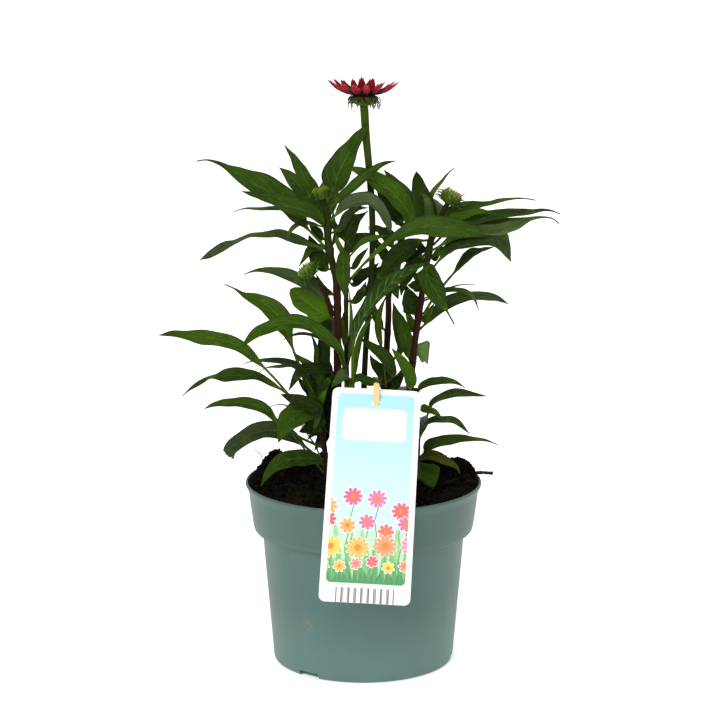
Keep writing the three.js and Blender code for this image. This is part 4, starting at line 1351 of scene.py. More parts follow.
@dataclass
class Flower:
    """Open flower: receptacle with curled bracts, ray florets and a bristly cone."""

    petal_width: float = 8.4
    ring: float = 8.1
    petal_turn: float = 6.0
    petal_foot: Rows = ((8.4, 0.4), (9.4, 1.0), (15.0, 2.2))
    petal_bend: Pair = (0.52, 0.36)
    petal_tips: Rows = (
        (27, 10), (27, 9.6), (26, 8.4), (26, 10.8), (24, 12), (19.5, 11), (22.5, 10.6), (25, 12),
        (28, 12), (27, 11), (26, 11), (25, 10.6), (24, 11), (27, 11.5), (27, 11), (27, 10.6),
    )
    receptacle: Rows = ((0.01, 0), (3.9, 0.2), (6.4, 1.8), (9.4, 4.4), (10.2, 6.4), (9.2, 7.8), (0.01, 7.8))
    cone: Rows = ((6.8, 7.6), (8, 9), (7, 10.6), (3.6, 12), (0.01, 12.4))
    spikes: int = 150
    spike_reach: float = 7.4
    spike_top: float = 12.2
    whorls: tuple[tuple[int, float], ...] = ((16, 7.4), (14, 6.4), (14, 5.2), (12, 3.8), (9, 2.4))

    def bracts(self, skin: Skin, base: Array) -> None:
        """Adds untidy whorls of narrow bracts that curl out and down.

        Args:
            skin: The mesh.
            base: End of the stem.
        """
        rng = np.random.default_rng(7)
        for count, lift in self.whorls:
            for i in range(count):
                reach = rng.uniform(10.2, 14.0)
                drop = rng.uniform(1.5, 7.5)
                hook = rng.uniform(-0.6, 2.6)
                rows = (
                    (7.0, lift - 0.6), (reach - 1.8, lift + rng.uniform(-0.4, 0.9)), (reach, lift - 1.0),
                    (reach + 0.3, lift - 0.6 * drop), (reach - 0.4 * hook, lift - drop),
                    (reach - hook, lift - drop + 0.3 * hook),
                )
                angle = 2 * math.pi * (i + lift / 3.6 + rng.uniform(-0.4, 0.4)) / count
                scale = Scale(rows, rng.uniform(1.5, 2.8), 0.6, 18)
                scale.add(skin, base, np.eye(3), angle, rng.uniform(0, 1))

    def ray(self, skin: Skin, base: Array, index: int, rng: Rng) -> None:
        """Adds one ray floret, a pleated trough with a toothed tip.

        Args:
            skin: The mesh.
            base: End of the stem.
            index: Its number round the ring.
            rng: Source of its small differences.
        """
        count = len(self.petal_tips)
        angle = 2 * math.pi * index / count + math.radians(self.petal_turn + rng.uniform(-2.5, 2.5))
        outward = np.array([math.cos(angle), math.sin(angle), 0.0])
        foot, tip = np.array(self.petal_foot[-1]), np.array(self.petal_tips[index])
        rows = np.vstack([self.petal_foot, foot + (tip - foot) * self.petal_bend, tip])
        centre = evenly((rows[:, :1] * outward + (rows[:, 1:] + self.ring) * UP) * MM, 30)
        along = unit(np.gradient(centre, axis=0))
        side = np.broadcast_to(np.cross(UP, outward), along.shape)
        twist = np.linspace(0, rng.uniform(-26, 26), len(centre))
        line = Ribbon(centre + base, side, np.cross(along, side)).twisted(twist)
        share = np.linspace(0, 1, len(centre))[:, None]
        across = np.linspace(-1, 1, 13)[None, :]
        spread = (0.42 + 0.58 * smooth(share / 0.5)) * (1 - 0.5 * smooth((share - 0.55) / 0.45))
        half = self.petal_width / 2 * MM * spread * rng.uniform(0.9, 1.1)
        curl = math.radians(rng.uniform(44, 74)) * (1.0 - 0.3 * share)
        pleat = 0.2 * MM * np.cos(3 * np.pi * across) * smooth(share / 0.3)
        upper = half * (1 - np.cos(curl * across)) / curl + pleat
        depth = 0.35 * MM * (1 - 0.7 * across ** 2) * np.ones_like(share)
        notch = 1.0 * np.cos(2 * np.pi * across) - 1.3 * across ** 2 - rng.uniform(0, 0.8) * (across > 0)
        teeth = notch * MM * smooth((share - 0.78) / 0.22)
        sheet = Sheet(line, half * np.sin(curl * across) / curl, upper, depth, teeth)
        sheet.add(skin, share, across, rng.uniform(0, 1), 0, 0.2)

    def build(self, stem: Stem) -> None:
        """Makes the flower.

        Args:
            stem: The stem that carries it at its end.
        """
        base = stem.centre[-1]
        bract = ScaleFinish("bract", "#0d1405", "#22330a", "#5a6c2a").material()
        skin = Skin()
        # Painted shade: a tone of 1.6 turns the receptacle almost to the bracts' near-black foot colour, for
        # the dark gaps between the bracts.
        dome(skin, base, np.eye(3), self.receptacle, 1.6)
        self.bracts(skin, base)
        settle(skin.build("bracts", bract), "bract", "flower_receptacle")
        rng = np.random.default_rng(11)
        skin = Skin()
        for index in range(len(self.petal_tips)):
            self.ray(skin, base, index, rng)
        settle(skin.build("petals", PetalFinish().material()), "petal", "ray_florets")
        self.build_cone(base)

    def build_cone(self, base: Array) -> None:
        """Makes the cone with its spiral of stiff spikes.

        Args:
            base: End of the stem.
        """
        skin = Skin()
        dome(skin, base, np.eye(3), self.cone, 0.8)
        for i in range(self.spikes):
            share = math.sqrt((i + 0.5) / self.spikes)
            radius = self.spike_reach * share
            height = self.spike_top - 3.0 * share ** 3
            bend = (radius + 0.5 * share, height + 1.1)
            rows = ((radius, height), bend, (radius + 0.9 * share, height + 2.3))
            Scale(rows, 0.9, 0.5, 4).add(skin, base, np.eye(3), i * GOLDEN_ANGLE, i % 5 / 5)
        finish = ScaleFinish("cone", "#20060a", "#4b0d14", "#a8421f").material()
        settle(skin.build("cone_spikes", finish), "cone", "flower_cone")


@dataclass
class Bud:
    """Closed bud: finger-like young florets that close over a dark middle, above flaring bracts."""

    node: str
    stem: str
    seed: int
    size: float = 1.0
    body: Rows = ((0.01, 0), (3.0, 0.1), (5.4, 1.6), (6.4, 4.2), (5.9, 6.8), (3.4, 8.4), (0.01, 8.8))
    whorls: tuple[tuple[int, float, float], ...] = (
        (11, 1.2, 4.8), (13, 2.8, 5.8), (13, 4.6, 6.2), (9, 6.2, 5.8),
    )
    florets: int = 60
    floret_reach: float = 6.0
    floret_top: float = 8.2

    def build(self, stems: StemSet, bracts: Material, young: Material) -> None:
        """Makes the bud at the end of its stem.

        Args:
            stems: The stems.
            bracts: Finish of the bracts.
            young: Finish of the young florets.
        """
        rng = np.random.default_rng(self.seed)
        base, axis = stems.stems[self.stem].end
        turn = turn_to(axis)
        skin = Skin()
        dome(skin, base, turn, np.array(self.body) * self.size, 0.9)
        for order, (count, lift, reach) in enumerate(self.whorls):
            for i in range(count):
                long = rng.uniform(4.4, 7.4)
                rise = rng.uniform(-0.35, 0.8)
                middle = (reach + 0.7 * long, lift + 0.45 * rise * long)
                tip = (reach + 0.92 * long, lift + rise * long)
                rows = ((reach - 1.4, lift), (reach + 0.35 * long, lift + 0.3), middle, tip)
                angle = 2 * math.pi * (i + 0.5 * order + rng.uniform(-0.3, 0.3)) / count
                scale = Scale(rows, rng.uniform(1.3, 2.3), 0.6, 10)
                scale.add(skin, base, turn, angle, rng.uniform(0, 1), self.size)
        settle(skin.build(self.node + "_bracts", bracts), "bract", self.node)
        skin = Skin()
        for i in range(self.florets):
            share = math.sqrt((i + 0.5) / self.florets)
            radius = self.floret_reach * share
            height = self.floret_top - 3.2 * share ** 2.2
            long = 0.9 + 3.2 * smooth((share - 0.35) / 0.4) * rng.uniform(0.6, 1.15)
            tip = (radius * rng.uniform(0.7, 1.15), height + long)
            rows = ((radius, height - 1.2), (radius + 0.9 * share, height + 0.4 * long), tip)
            pale = 1 - smooth((share - 0.3) / 0.3) * rng.uniform(0.7, 1)
            Scale(rows, 1.6, 0.9, 7).add(skin, base, turn, i * GOLDEN_ANGLE, pale, self.size)
        settle(skin.build(self.node + "_florets", young), "bract", self.node)


# ---- pot, soil and label


def rounded(rows: Rows, radius: float, steps: int = 4) -> Array:
    """An outline whose corners are rounded.

    Args:
        rows: Corner points.
        radius: How far from a corner its curve starts, at most.
        steps: Points on each curve.

    Returns:
        The points of the rounded outline.
    """
    corners = np.asarray(rows, float)
    out = [corners[0]]
    for before, corner, after in zip(corners, corners[1:], corners[2:]):
        start, end = before - corner, after - corner
        room = min(radius, 0.45 * np.linalg.norm(start), 0.45 * np.linalg.norm(end))
        first, last = corner + unit(start) * room, corner + unit(end) * room
        for t in np.linspace(0, 1, steps):
            out.append((1 - t) ** 2 * first + 2 * t * (1 - t) * corner + t * t * last)
    out.append(corners[-1])
    return np.array(out)


@dataclass(frozen=True)
class PotFinish:
    """Dusty teal moulded plastic with scuffs, specks and one soil stain."""

    body: str = "#3f5f59"
    dusty: str = "#4d6c66"
    # Colour of the painted shade on the rim band.
    collar_painted_shade: str = "#2f4943"
    # Colour of the painted light reflected from the floor onto the foot.
    foot: str = "#6c8d86"
    # Colour of real specks and smudges, and of the painted shadow band under the rim band's step.
    dirt_and_painted_shadow: str = "#39443a"
    stain: str = "#6b7360"
    stain_at: Triple = (-0.0440, -0.0620, 0.0440)
    specks: tuple[Triple, ...] = (
        (-0.0110, 0.0290, 0.0009), (-0.0250, 0.0100, 0.0007),
        (0.0400, 0.0330, 0.0008), (0.0120, 0.0840, 0.0006),
    )
    # Heights of a painted shadow band under the rim band's step.
    collar_shadow_band: Four = (0.1060, 0.1085, 0.1100, 0.1125)
    lip: Pair = (0.1425, 0.1460)

    def _specks(self, x: Value, z: Value, front: Value) -> Value:
        """Finds the single specks.

        Args:
            x: Place across the pot.
            z: Height.
            front: 1 on the pot's front, to which they stick.

        Returns:
            1 on the specks.
        """
        mask: Value | float = 0.0
        for at, height, radius in self.specks:
            away = ((x - at) ** 2.0 + (z - height) ** 2.0) ** 0.5
            mask = away.fade(radius, radius * 0.4) + mask
        return mask * front

    def material(self) -> Material:
        """Makes the pot's material.

        Returns:
            The material.
        """
        g = Graph("pot_plastic")
        place = g.place()
        x, y, z = g.parts(place)
        cloud = g.noise(place, 14.0, 4.0)
        grain = g.noise(place, 1500.0, 2.0)
        drag = g.noise(g.vector(x * 1.0, y * 1.0, z * 0.12), 60.0, 3.0)
        dust = g.noise(place, 330.0, 1.0).fade(0.75, 0.78)
        base = g.mix(cloud.fade(0.35, 0.75) * 0.5 + drag.fade(0.5, 0.8) * 0.25, self.body, self.dusty)
        base = g.mix(dust * 0.4 + self._specks(x, z, y.fade(0.0, -0.02)) * 0.8, base, self.dirt_and_painted_shadow)
        sx, sy, sz = self.stain_at
        near = ((x - sx) ** 2.0 + (y - sy) ** 2.0 + ((z - sz) * 0.75) ** 2.0) ** 0.5
        blot = near.fade(0.0075, 0.002) * g.noise(place, 320.0, 3.0).fade(0.44, 0.58)
        base = g.mix(blot * 0.75, base, self.stain)
        # Painted shadow: a dark band where the rim band steps out from the wall.
        low, rise, turn, high = self.collar_shadow_band
        collar_shadow_band = z.fade(high, turn) * z.fade(low, rise)
        rim_dirt = z.fade(*self.lip) * g.noise(place, 90.0, 3.0).fade(0.5, 0.7)
        # Painted light: the wall turns paler towards the foot, standing in for light reflected up from the
        # white floor.
        base = g.mix(z.fade(0.07, 0.0) * 0.4, base, self.foot)
        # Painted shade: the rim band is darker, standing in for the shade that the leaves above cast on it.
        base = g.mix(z.fade(0.107, 0.116) * 0.42, base, self.collar_painted_shade)
        # Real grime on the rim's top, and the painted shadow band below the step.
        base = g.mix(rim_dirt * 0.25 + collar_shadow_band * 0.45, base, self.dirt_and_painted_shadow)
        rough = 0.42 + cloud * 0.16 + blot * 0.2
        return g.finish(base, rough, grain * 0.5 + drag * 0.5, 0.0001, Specular_IOR_Level=0.5)


@dataclass
class Pot:
    """Nursery pot, turned from its outline and cut for its foot slots and drain holes."""

    sides: int = 180
    outside: Rows = (
        (0.01, 0), (26, 0), (30, 4), (60, 4), (63, 0), (70.8, 0), (72.6, 0.8), (73.3, 2.5), (77.3, 50),
        (80, 82), (81.9, 106.9), (82.6, 108.4), (87.2, 108.9), (88.7, 110), (89.6, 114), (91.9, 131),
        (92.9, 140.5), (94.5, 144.6), (95.6, 146.3), (95.6, 147.6), (95, 148.5), (93.9, 148.4),
    )
    inside: Rows = (
        (93.4, 147.2), (92.9, 145), (91.4, 140.5), (90.4, 131), (87.9, 113), (86.6, 110.8), (80.9, 110.2),
        (80.2, 106.5), (78.4, 82), (75.7, 50), (71.6, 4), (69.6, 1.6), (64.6, 1.6), (61.4, 5.5), (29.4, 5.5),
        (26.4, 1.6), (0.01, 1.6),
    )
    foot_radius: float = 73.3
    rounding: float = 0.8
    notches: tuple[float, ...] = (-37.0, 83.0, 203.0)
    notch_size: Triple = (19.0, 12.0, 9.0)
    drains: int = 6
    drain_size: Triple = (5.0, 20.0, 4.0)
    drain_circle: float = 45.0
    sharp: float = 35.0

    def tools(self) -> list[bpy.types.Object]:
        """Makes the bodies that cut the slots and holes.

        Returns:
            Their objects.
        """
        made = []
        for degrees in self.notches:
            mesh = bmesh.new()
            bmesh.ops.create_cube(mesh, size=1.0)
            bmesh.ops.scale(mesh, vec=Vector(self.notch_size) * MM, verts=mesh.verts)
            bmesh.ops.translate(mesh, vec=(0, -self.foot_radius * MM, 0), verts=mesh.verts)
            made.append(self._turned(mesh, math.radians(degrees)))
        radius, depth, lift = (size * MM for size in self.drain_size)
        for i in range(self.drains):
            mesh = bmesh.new()
            cone = {"segments": 32, "radius1": radius, "radius2": radius, "depth": depth}
            bmesh.ops.create_cone(mesh, cap_ends=True, **cone)
            bmesh.ops.translate(mesh, vec=(self.drain_circle * MM, 0, lift), verts=mesh.verts)
            made.append(self._turned(mesh, 2 * math.pi * (i + 0.5) / self.drains))
        return made

    @staticmethod
    def _turned(shape: bmesh.types.BMesh, angle: float) -> bpy.types.Object:
        """Turns a cutting body about the pot's axis.

        Args:
            shape: The body, which is freed.
            angle: The turn, in radians.

        Returns:
            The body's object.
        """
        mesh = bpy.data.meshes.new("cutter")
        shape.to_mesh(mesh)
        shape.free()
        tool = linked("cutter", mesh)
        tool.rotation_euler.z = angle
        return tool

    def build(self) -> None:
        """Makes the pot."""
        profile = np.vstack([rounded(self.outside, self.rounding), rounded(self.inside, self.rounding)]) * MM
        skin = Skin()
        skin.loft(turned(profile, self.sides))
        pot = skin.build("pot_shell", PotFinish().material(), self.sharp)
        tools = self.tools()
        for tool in tools:
            cut = pot.modifiers.new("cut", "BOOLEAN")
            cut.object = tool
        bpy.context.view_layer.update()
        shaped = pot.evaluated_get(bpy.context.evaluated_depsgraph_get())
        mesh = bpy.data.meshes.new_from_object(shaped)
        pot.modifiers.clear()
        pot.data = mesh
        for tool in tools:
            bpy.data.objects.remove(tool)
        mesh.set_sharp_from_angle(angle=math.radians(self.sharp))
        settle(pot, "pot", "pot")


@dataclass(frozen=True)
class SoilFinish:
    """Near-black moist peat with brown crumbs and fibres."""

    def material(self) -> Material:
        """Makes the soil's material.

        Returns:
            The material.
        """
        g = Graph("peat")
        tone, fibre, _ = g.attribute("kind")
        place = g.place()
        clump = g.noise(place, 120.0, 5.0)
        grit = g.noise(place, 900.0, 4.0)
        patch = g.noise(place, 28.0, 2.0)
        mixed = clump * 0.6 + grit * 0.4
        dark = g.ramp(mixed, (0.35, "#030302"), (0.55, "#090804"), (0.75, "#15110a"))
        brown = g.ramp(mixed, (0.35, "#0a0804"), (0.55, "#1c150a"), (0.75, "#362a17"))
        base = g.mix(patch.fade(0.5, 0.7), dark, brown)
        base = g.mix(tone, base, "#33240f")
        base = g.mix(fibre, base, "#7a6038")
        return g.finish(base, 0.9 + grit * 0.1, clump * 0.5 + grit * 0.5, 0.0008, Specular_IOR_Level=0.05)


@dataclass
class Soil:
    """Uneven potting soil with crumbs and fibres on it, heaped at the back."""

    pot: Pot
    rings: int = 84
    sides: int = 200
    clods: int = 2400
    heap_clods: int = 1100
    fibres: int = 400
    heap_fibres: int = 230
    lumps: float = 0.0014
    level: float = 0.1425
    edge: float = 0.0916
    side_gap: float = 0.4
    banks: Rows = ((179.0, 25.0, 3.4), (2.0, 36.0, 4.6))
    bank_foot: float = 0.074
    bank_rise: float = 0.014
    scatter: float = 0.0895
    heap: float = 0.003
    hair: Rows = (
        (-78, 40, 150.5), (-83, 38, 156.1), (-84.4, 34, 160.6), (-86.8, 32, 163.6), (-89.2, 31, 165.6),
    )

    SIDE = slice(10, 2, -1)
    FOOT = 6.0
    SKY = 0.3

    def __post_init__(self) -> None:
        """Reads the frame's soil, whose surface gives the height everywhere."""
        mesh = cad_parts["soil"].data
        corners = [v.co for v in mesh.vertices]
        self.tree = BVHTree.FromPolygons(corners, [p.vertices for p in mesh.polygons])
        self.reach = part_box("soil")[1].x

    def height(self, x: float, y: float) -> float:
        """Finds the lumpy soil's height.

        Args:
            x: Place to the right, in metres.
            y: Place to the back.

        Returns:
            The height there.
        """
        radius = math.hypot(x, y)
        shrink = min(1.0, 0.985 * self.reach / max(radius, 1e-9))
        flat = self.tree.ray_cast(Vector((x * shrink, y * shrink, self.SKY)), Vector(-UP))[0].z
        heaped = float(smooth((flat - self.level) / 0.005))
        spot = Vector((x, y, 0.0))
        lump = noise.fractal(spot * 95, 1.0, 2.0, 4) + 0.6 * noise.noise(spot * 420)
        crag = noise.fractal(spot * 160 + Vector((9, 0, 0)), 0.8, 2.0, 5)
        return flat + self.bank(x, y) + self.lumps * (lump + heaped * 1.7 * crag)

    def bank(self, x: float, y: float) -> float:
        """Finds how much higher the soil lies where it leans on the rim.

        Args:
            x: Place to the right, in metres.
            y: Place to the back.

        Returns:
            The added height.
        """
        angle = math.degrees(math.atan2(y, x))
        near = float(smooth((math.hypot(x, y) - self.bank_foot) / self.bank_rise))
        off = [(abs((angle - at + 180) % 360 - 180) / wide, high) for at, wide, high in self.banks]
        return near * MM * sum(high * math.exp(-(turn ** 2)) for turn, high in off)

    def surface(self, skin: Skin) -> None:
        """Adds the body: its side along the pot's wall, and its lumpy top.

        Args:
            skin: The mesh.
        """
        outline = self.pot.inside[self.SIDE]
        wall = [(radius - self.side_gap, max(height, self.FOOT)) for radius, height in outline]
        rings = [*turned(np.array(wall) * MM, self.sides)]
        for k in range(self.rings):
            radius = self.edge * (1 - (k / self.rings) ** 1.05)
            spots = [(radius * math.cos(a), radius * math.sin(a)) for a in full_turn(self.sides)]
            rings.append([(x, y, self.height(x, y)) for x, y in spots])
        skin.loft(np.array(rings))

    def spot(self, rng: Rng, heaped: bool) -> Pair:
        """Picks a place.

        Args:
            rng: Source of the places.
            heaped: True for one on the heaps.

        Returns:
            A place on the soil, in metres.
        """
        while True:
            radius = self.scatter * math.sqrt(rng.uniform(0, 1))
            angle = rng.uniform(0, 2 * math.pi)
            x, y = radius * math.cos(angle), radius * math.sin(angle)
            if not heaped or self.height(x, y) > self.level + self.heap:
                return x, y

    def crumbs(self, skin: Skin, rng: Rng) -> None:
        """Adds loose clods of many sizes, the largest on the heaps.

        Args:
            skin: The mesh.
            rng: Source of their places and shapes.
        """
        clod = bmesh.new()
        bmesh.ops.create_icosphere(clod, subdivisions=1, radius=1.0)
        corners = np.array([v.co for v in clod.verts])
        faces = [tuple(v.index for v in f.verts) for f in clod.faces]
        clod.free()
        for index in range(self.clods + self.heap_clods):
            heaped = index < self.heap_clods
            x, y = self.spot(rng, heaped)
            size = MM * (0.4 + (2.0 if heaped else 1.3) * rng.uniform(0, 1) ** 4 + 0.5 * rng.uniform(0, 1))
            shape = corners * rng.uniform(0.5, 1.4, corners.shape) * rng.uniform(0.6, 1.3, 3)
            centre = np.array([x, y, self.height(x, y) + 0.35 * size])
            skin.add(centre + shape * size, faces, BLANK, np.array([rng.uniform(0, 0.8) ** 3, 0, 0]))

    def threads(self, skin: Skin, rng: Rng) -> None:
        """Adds fibres that lie on the soil, some that stick out of the heaps, and one long hair.

        Args:
            skin: The mesh.
            rng: Source of their places and bends.
        """
        for index in range(self.fibres):
            standing = index < self.heap_fibres
            x, y = self.spot(rng, standing)
            start = np.array([x, y, self.height(x, y)])
            length = rng.uniform(2, 7.5 if standing else 9) * MM
            way = unit(np.array([*rng.normal(size=2), rng.uniform(0.2, 1.4) if standing else 0.12]))
            bend = rng.normal(size=3) * [1, 1, 0.3] * length * 0.35
            line = resample(np.array([start, start + way * length * 0.5 + bend, start + way * length]), 7)
            radii = np.linspace(0.26, 0.07, 7) * MM * rng.uniform(0.5, 1.4)
            pale = 0.0 if standing else rng.uniform(0, 0.8) ** 3
            skin.tube(line, radii, 5, (rng.uniform(0, 0.5), pale, 0))
        line = evenly(np.array(self.hair, float) * MM, 24)
        skin.tube(line, np.linspace(0.4, 0.3, 24) * MM, 5, (0.1, 0.0, 0))

    def build(self) -> None:
        """Makes the soil."""
        rng = np.random.default_rng(3)
        skin = Skin()
        self.surface(skin)
        self.crumbs(skin, rng)
        self.threads(skin, rng)
        settle(skin.build("peat", SoilFinish().material()), "soil", "soil")


@dataclass(frozen=True)
class BarkFinish:
    """Dark fibrous bark."""

    def material(self) -> Material:
        """Makes the bark's material.

        Returns:
            The material.
        """
        g = Graph("bark")
        along, around, _ = g.attribute("place")
        fibres = g.noise(g.vector(along * 4.0, around * 3.0, 0.0), 6.0, 5.0)
        base = g.ramp(fibres, (0.3, "#170d08"), (0.55, "#332015"), (0.8, "#5a4029"))
        return g.finish(base, 0.85 + fibres * 0.1, fibres, 0.0006, Specular_IOR_Level=0.25)


class Twig:
    """Scrap of bark that lies from the soil over the rim."""

    SIDES = 6
    STATIONS = 60

    def build(self) -> None:
        """Makes the scrap."""
        centre, radius = (resample(row, self.STATIONS) for row in centre_line("bark_twig", self.SIDES, 0))
        rough = [1 + 0.45 * noise.noise(Vector((p[0] * 300, 4.0, 0.0))) for p in centre]
        angle = full_turn(14)
        shell = 1 + 0.28 * np.cos(3 * angle + 1.0) + 0.12 * np.cos(7 * angle)
        reach = (radius * np.array(rough))[:, None] * shell
        rings = centre[:, None] + spokes(centre, angle) * reach[..., None]
        skin = Skin()
        skin.loft(rings, places_along(rings, np.cos(angle)))
        settle(skin.build("bark_scrap", BarkFinish().material()), "bark", "bark_twig")


@dataclass(frozen=True)
class BloomRow:
    """A row of round daisies printed across the card, in millimetres."""

    period: float
    shift: float
    height: float
    spread: float
    radius: float
    petals: int
    seed: float

    def paint(self, g: Graph, x: Value, y: Value, ground: Value) -> Value:
        """Paints the daisies with their stems.

        Args:
            g: The card's graph.
            x: Place across the card.
            y: Place along it.
            ground: What they are painted on.

        Returns:
            The painted colour.
        """
        shifted = x + self.shift
        cell = (shifted / self.period).math("FLOOR")
        luck = g.luck(cell + self.seed)
        dx = shifted % self.period - self.period / 2
        dy = y - self.height - (luck - 0.5) * self.spread
        away = (dx * dx + dy * dy) ** 0.5
        turn = dy.math("ARCTAN2", dx) * (self.petals / 2) + luck * 3.0
        rim = (abs(turn.math("COSINE")) ** 0.6 * 0.55 + 0.45) * self.radius
        sway = abs(dx + (dy * 0.25).math("SINE") * 0.9)
        stem = sway.fade(0.55, 0.3) * dy.fade(0.5, -0.5)
        ground = g.mix(stem, ground, "#6f9f58")
        hue = g.ramp(
            luck, (0.0, "#f0626c"), (0.28, "#f7d64e"), (0.5, "#f3936a"), (0.7, "#e58fd2"), (0.9, "#ee5d7e")
        )
        ground = g.mix((away - rim).fade(0.9, 0.6), ground, "#fbf6ee")
        ground = g.mix((away - rim).fade(0.25, -0.1), ground, hue)
        return g.mix((away - self.radius * 0.3).fade(0.2, -0.2), ground, "#e08a3a")


@dataclass(frozen=True)
class GrassRow:
    """A row of leaning blades that grow from the picture's foot, in millimetres."""

    shift: float
    period: float
    high: float
    code: str
    foot: float = -163.5

    def paint(self, g: Graph, x: Value, y: Value, ground: Value) -> Value:
        """Paints the blades.

        Args:
            g: The card's graph.
            x: Place across the card.
            y: Place along it.
            ground: What they are painted on.

        Returns:
            The painted colour.
        """
        shifted = x + self.shift if self.shift else x
        luck = g.luck((shifted / self.period).math("FLOOR") + self.high)
        share = (y - self.foot) / self.high
        lean = (luck - 0.5) * 9.0 * share * share
        across = abs(shifted % self.period - self.period / 2 + lean)
        width = (share * -1.0 + 0.75 + luck * 0.45).math("MAXIMUM", 0.0) ** 0.6 * self.period * 0.5
        return g.mix((across - width).fade(0.2, -0.2) * share.fade(1.3, 1.0), ground, self.code)


@dataclass(frozen=True)
class CardFinish:
    """White card printed with a blue sky, a blank box, rows of plain daisies, grass and bars."""

    sky: Four = (-30.4, 30.4, -163.5, -4.8)
    box: Four = (-25.5, 25.0, -45.0, -17.0)
    bars: Four = (-22.5, 22.5, -179.0, -167.0)
    horizon: float = -118.0
    meadow: tuple[GrassRow | BloomRow, ...] = (
        GrassRow(0.0, 9.0, 46.0, "#9fd392"),
        BloomRow(19.0, 4.0, -97.0, 12.0, 7.6, 10, 3.0),
        BloomRow(15.0, 9.0, -116.0, 9.0, 6.4, 8, 17.0),
        GrassRow(4.0, 7.0, 34.0, "#7fc07c"),
        BloomRow(21.0, -3.0, -132.0, 8.0, 9.0, 12, 29.0),
        GrassRow(1.0, 5.0, 20.0, "#62a468"),
        BloomRow(12.5, 2.0, -148.0, 7.0, 4.6, 7, 43.0),
        GrassRow(2.0, 4.0, 10.0, "#4f9560"),
    )

    @staticmethod
    def _inside(x: Value, y: Value, box: tuple[float, ...], radius: float) -> Value:
        """Marks a box with rounded corners.

        Args:
            x: Place across the card.
            y: Place along it.
            box: The box's left, right, low and high edges.
            radius: Radius of its corners.

        Returns:
            1 inside it.
        """
        left, right, low, high = box
        dx = (abs(x - (left + right) / 2) - ((right - left) / 2 - radius)).math("MAXIMUM", 0.0)
        dy = (abs(y - (low + high) / 2) - ((high - low) / 2 - radius)).math("MAXIMUM", 0.0)
        return ((dx * dx + dy * dy) ** 0.5 - radius).fade(0.15, -0.15)

    def material(self) -> Material:
        """Makes the card's material, for places of millimetres across, millimetres along and side.

        Returns:
            The material.
        """
        g = Graph("printed_card")
        x, y, front = g.attribute("place")
        sky = g.ramp(y.fade(-110.0, -5.0), (0.0, "#cfeef6"), (1.0, "#aee2f1"))
        picture = g.mix(y.fade(self.horizon + 14, self.horizon - 14) * 0.8, sky, "#bfe6b0")
        for row in self.meadow:
            picture = row.paint(g, x, y, picture)
        card = g.mix(self._inside(x, y, self.sky, 4.0), "#fcfbf5", picture)
        card = g.mix(self._inside(x, y, self.box, 4.5), card, "#e6e9e3")
        wide_bars = (x % 5.0 - 2.5).math("ABSOLUTE").fade(1.1, 0.9) * 0.75
        bars = wide_bars + (x % 1.9 - 0.95).math("ABSOLUTE").fade(0.3, 0.2) * 0.35
        card = g.mix(self._inside(x, y, self.bars, 0.1) * bars, card, "#4c4a4c")
        card = g.mix(front, "#f1f0eb", card)
        fibre = g.noise(g.place(), 1200.0, 2.0)
        return g.finish(card, 0.34 + fibre * 0.1, fibre, 0.00003, Coat_Weight=0.15)


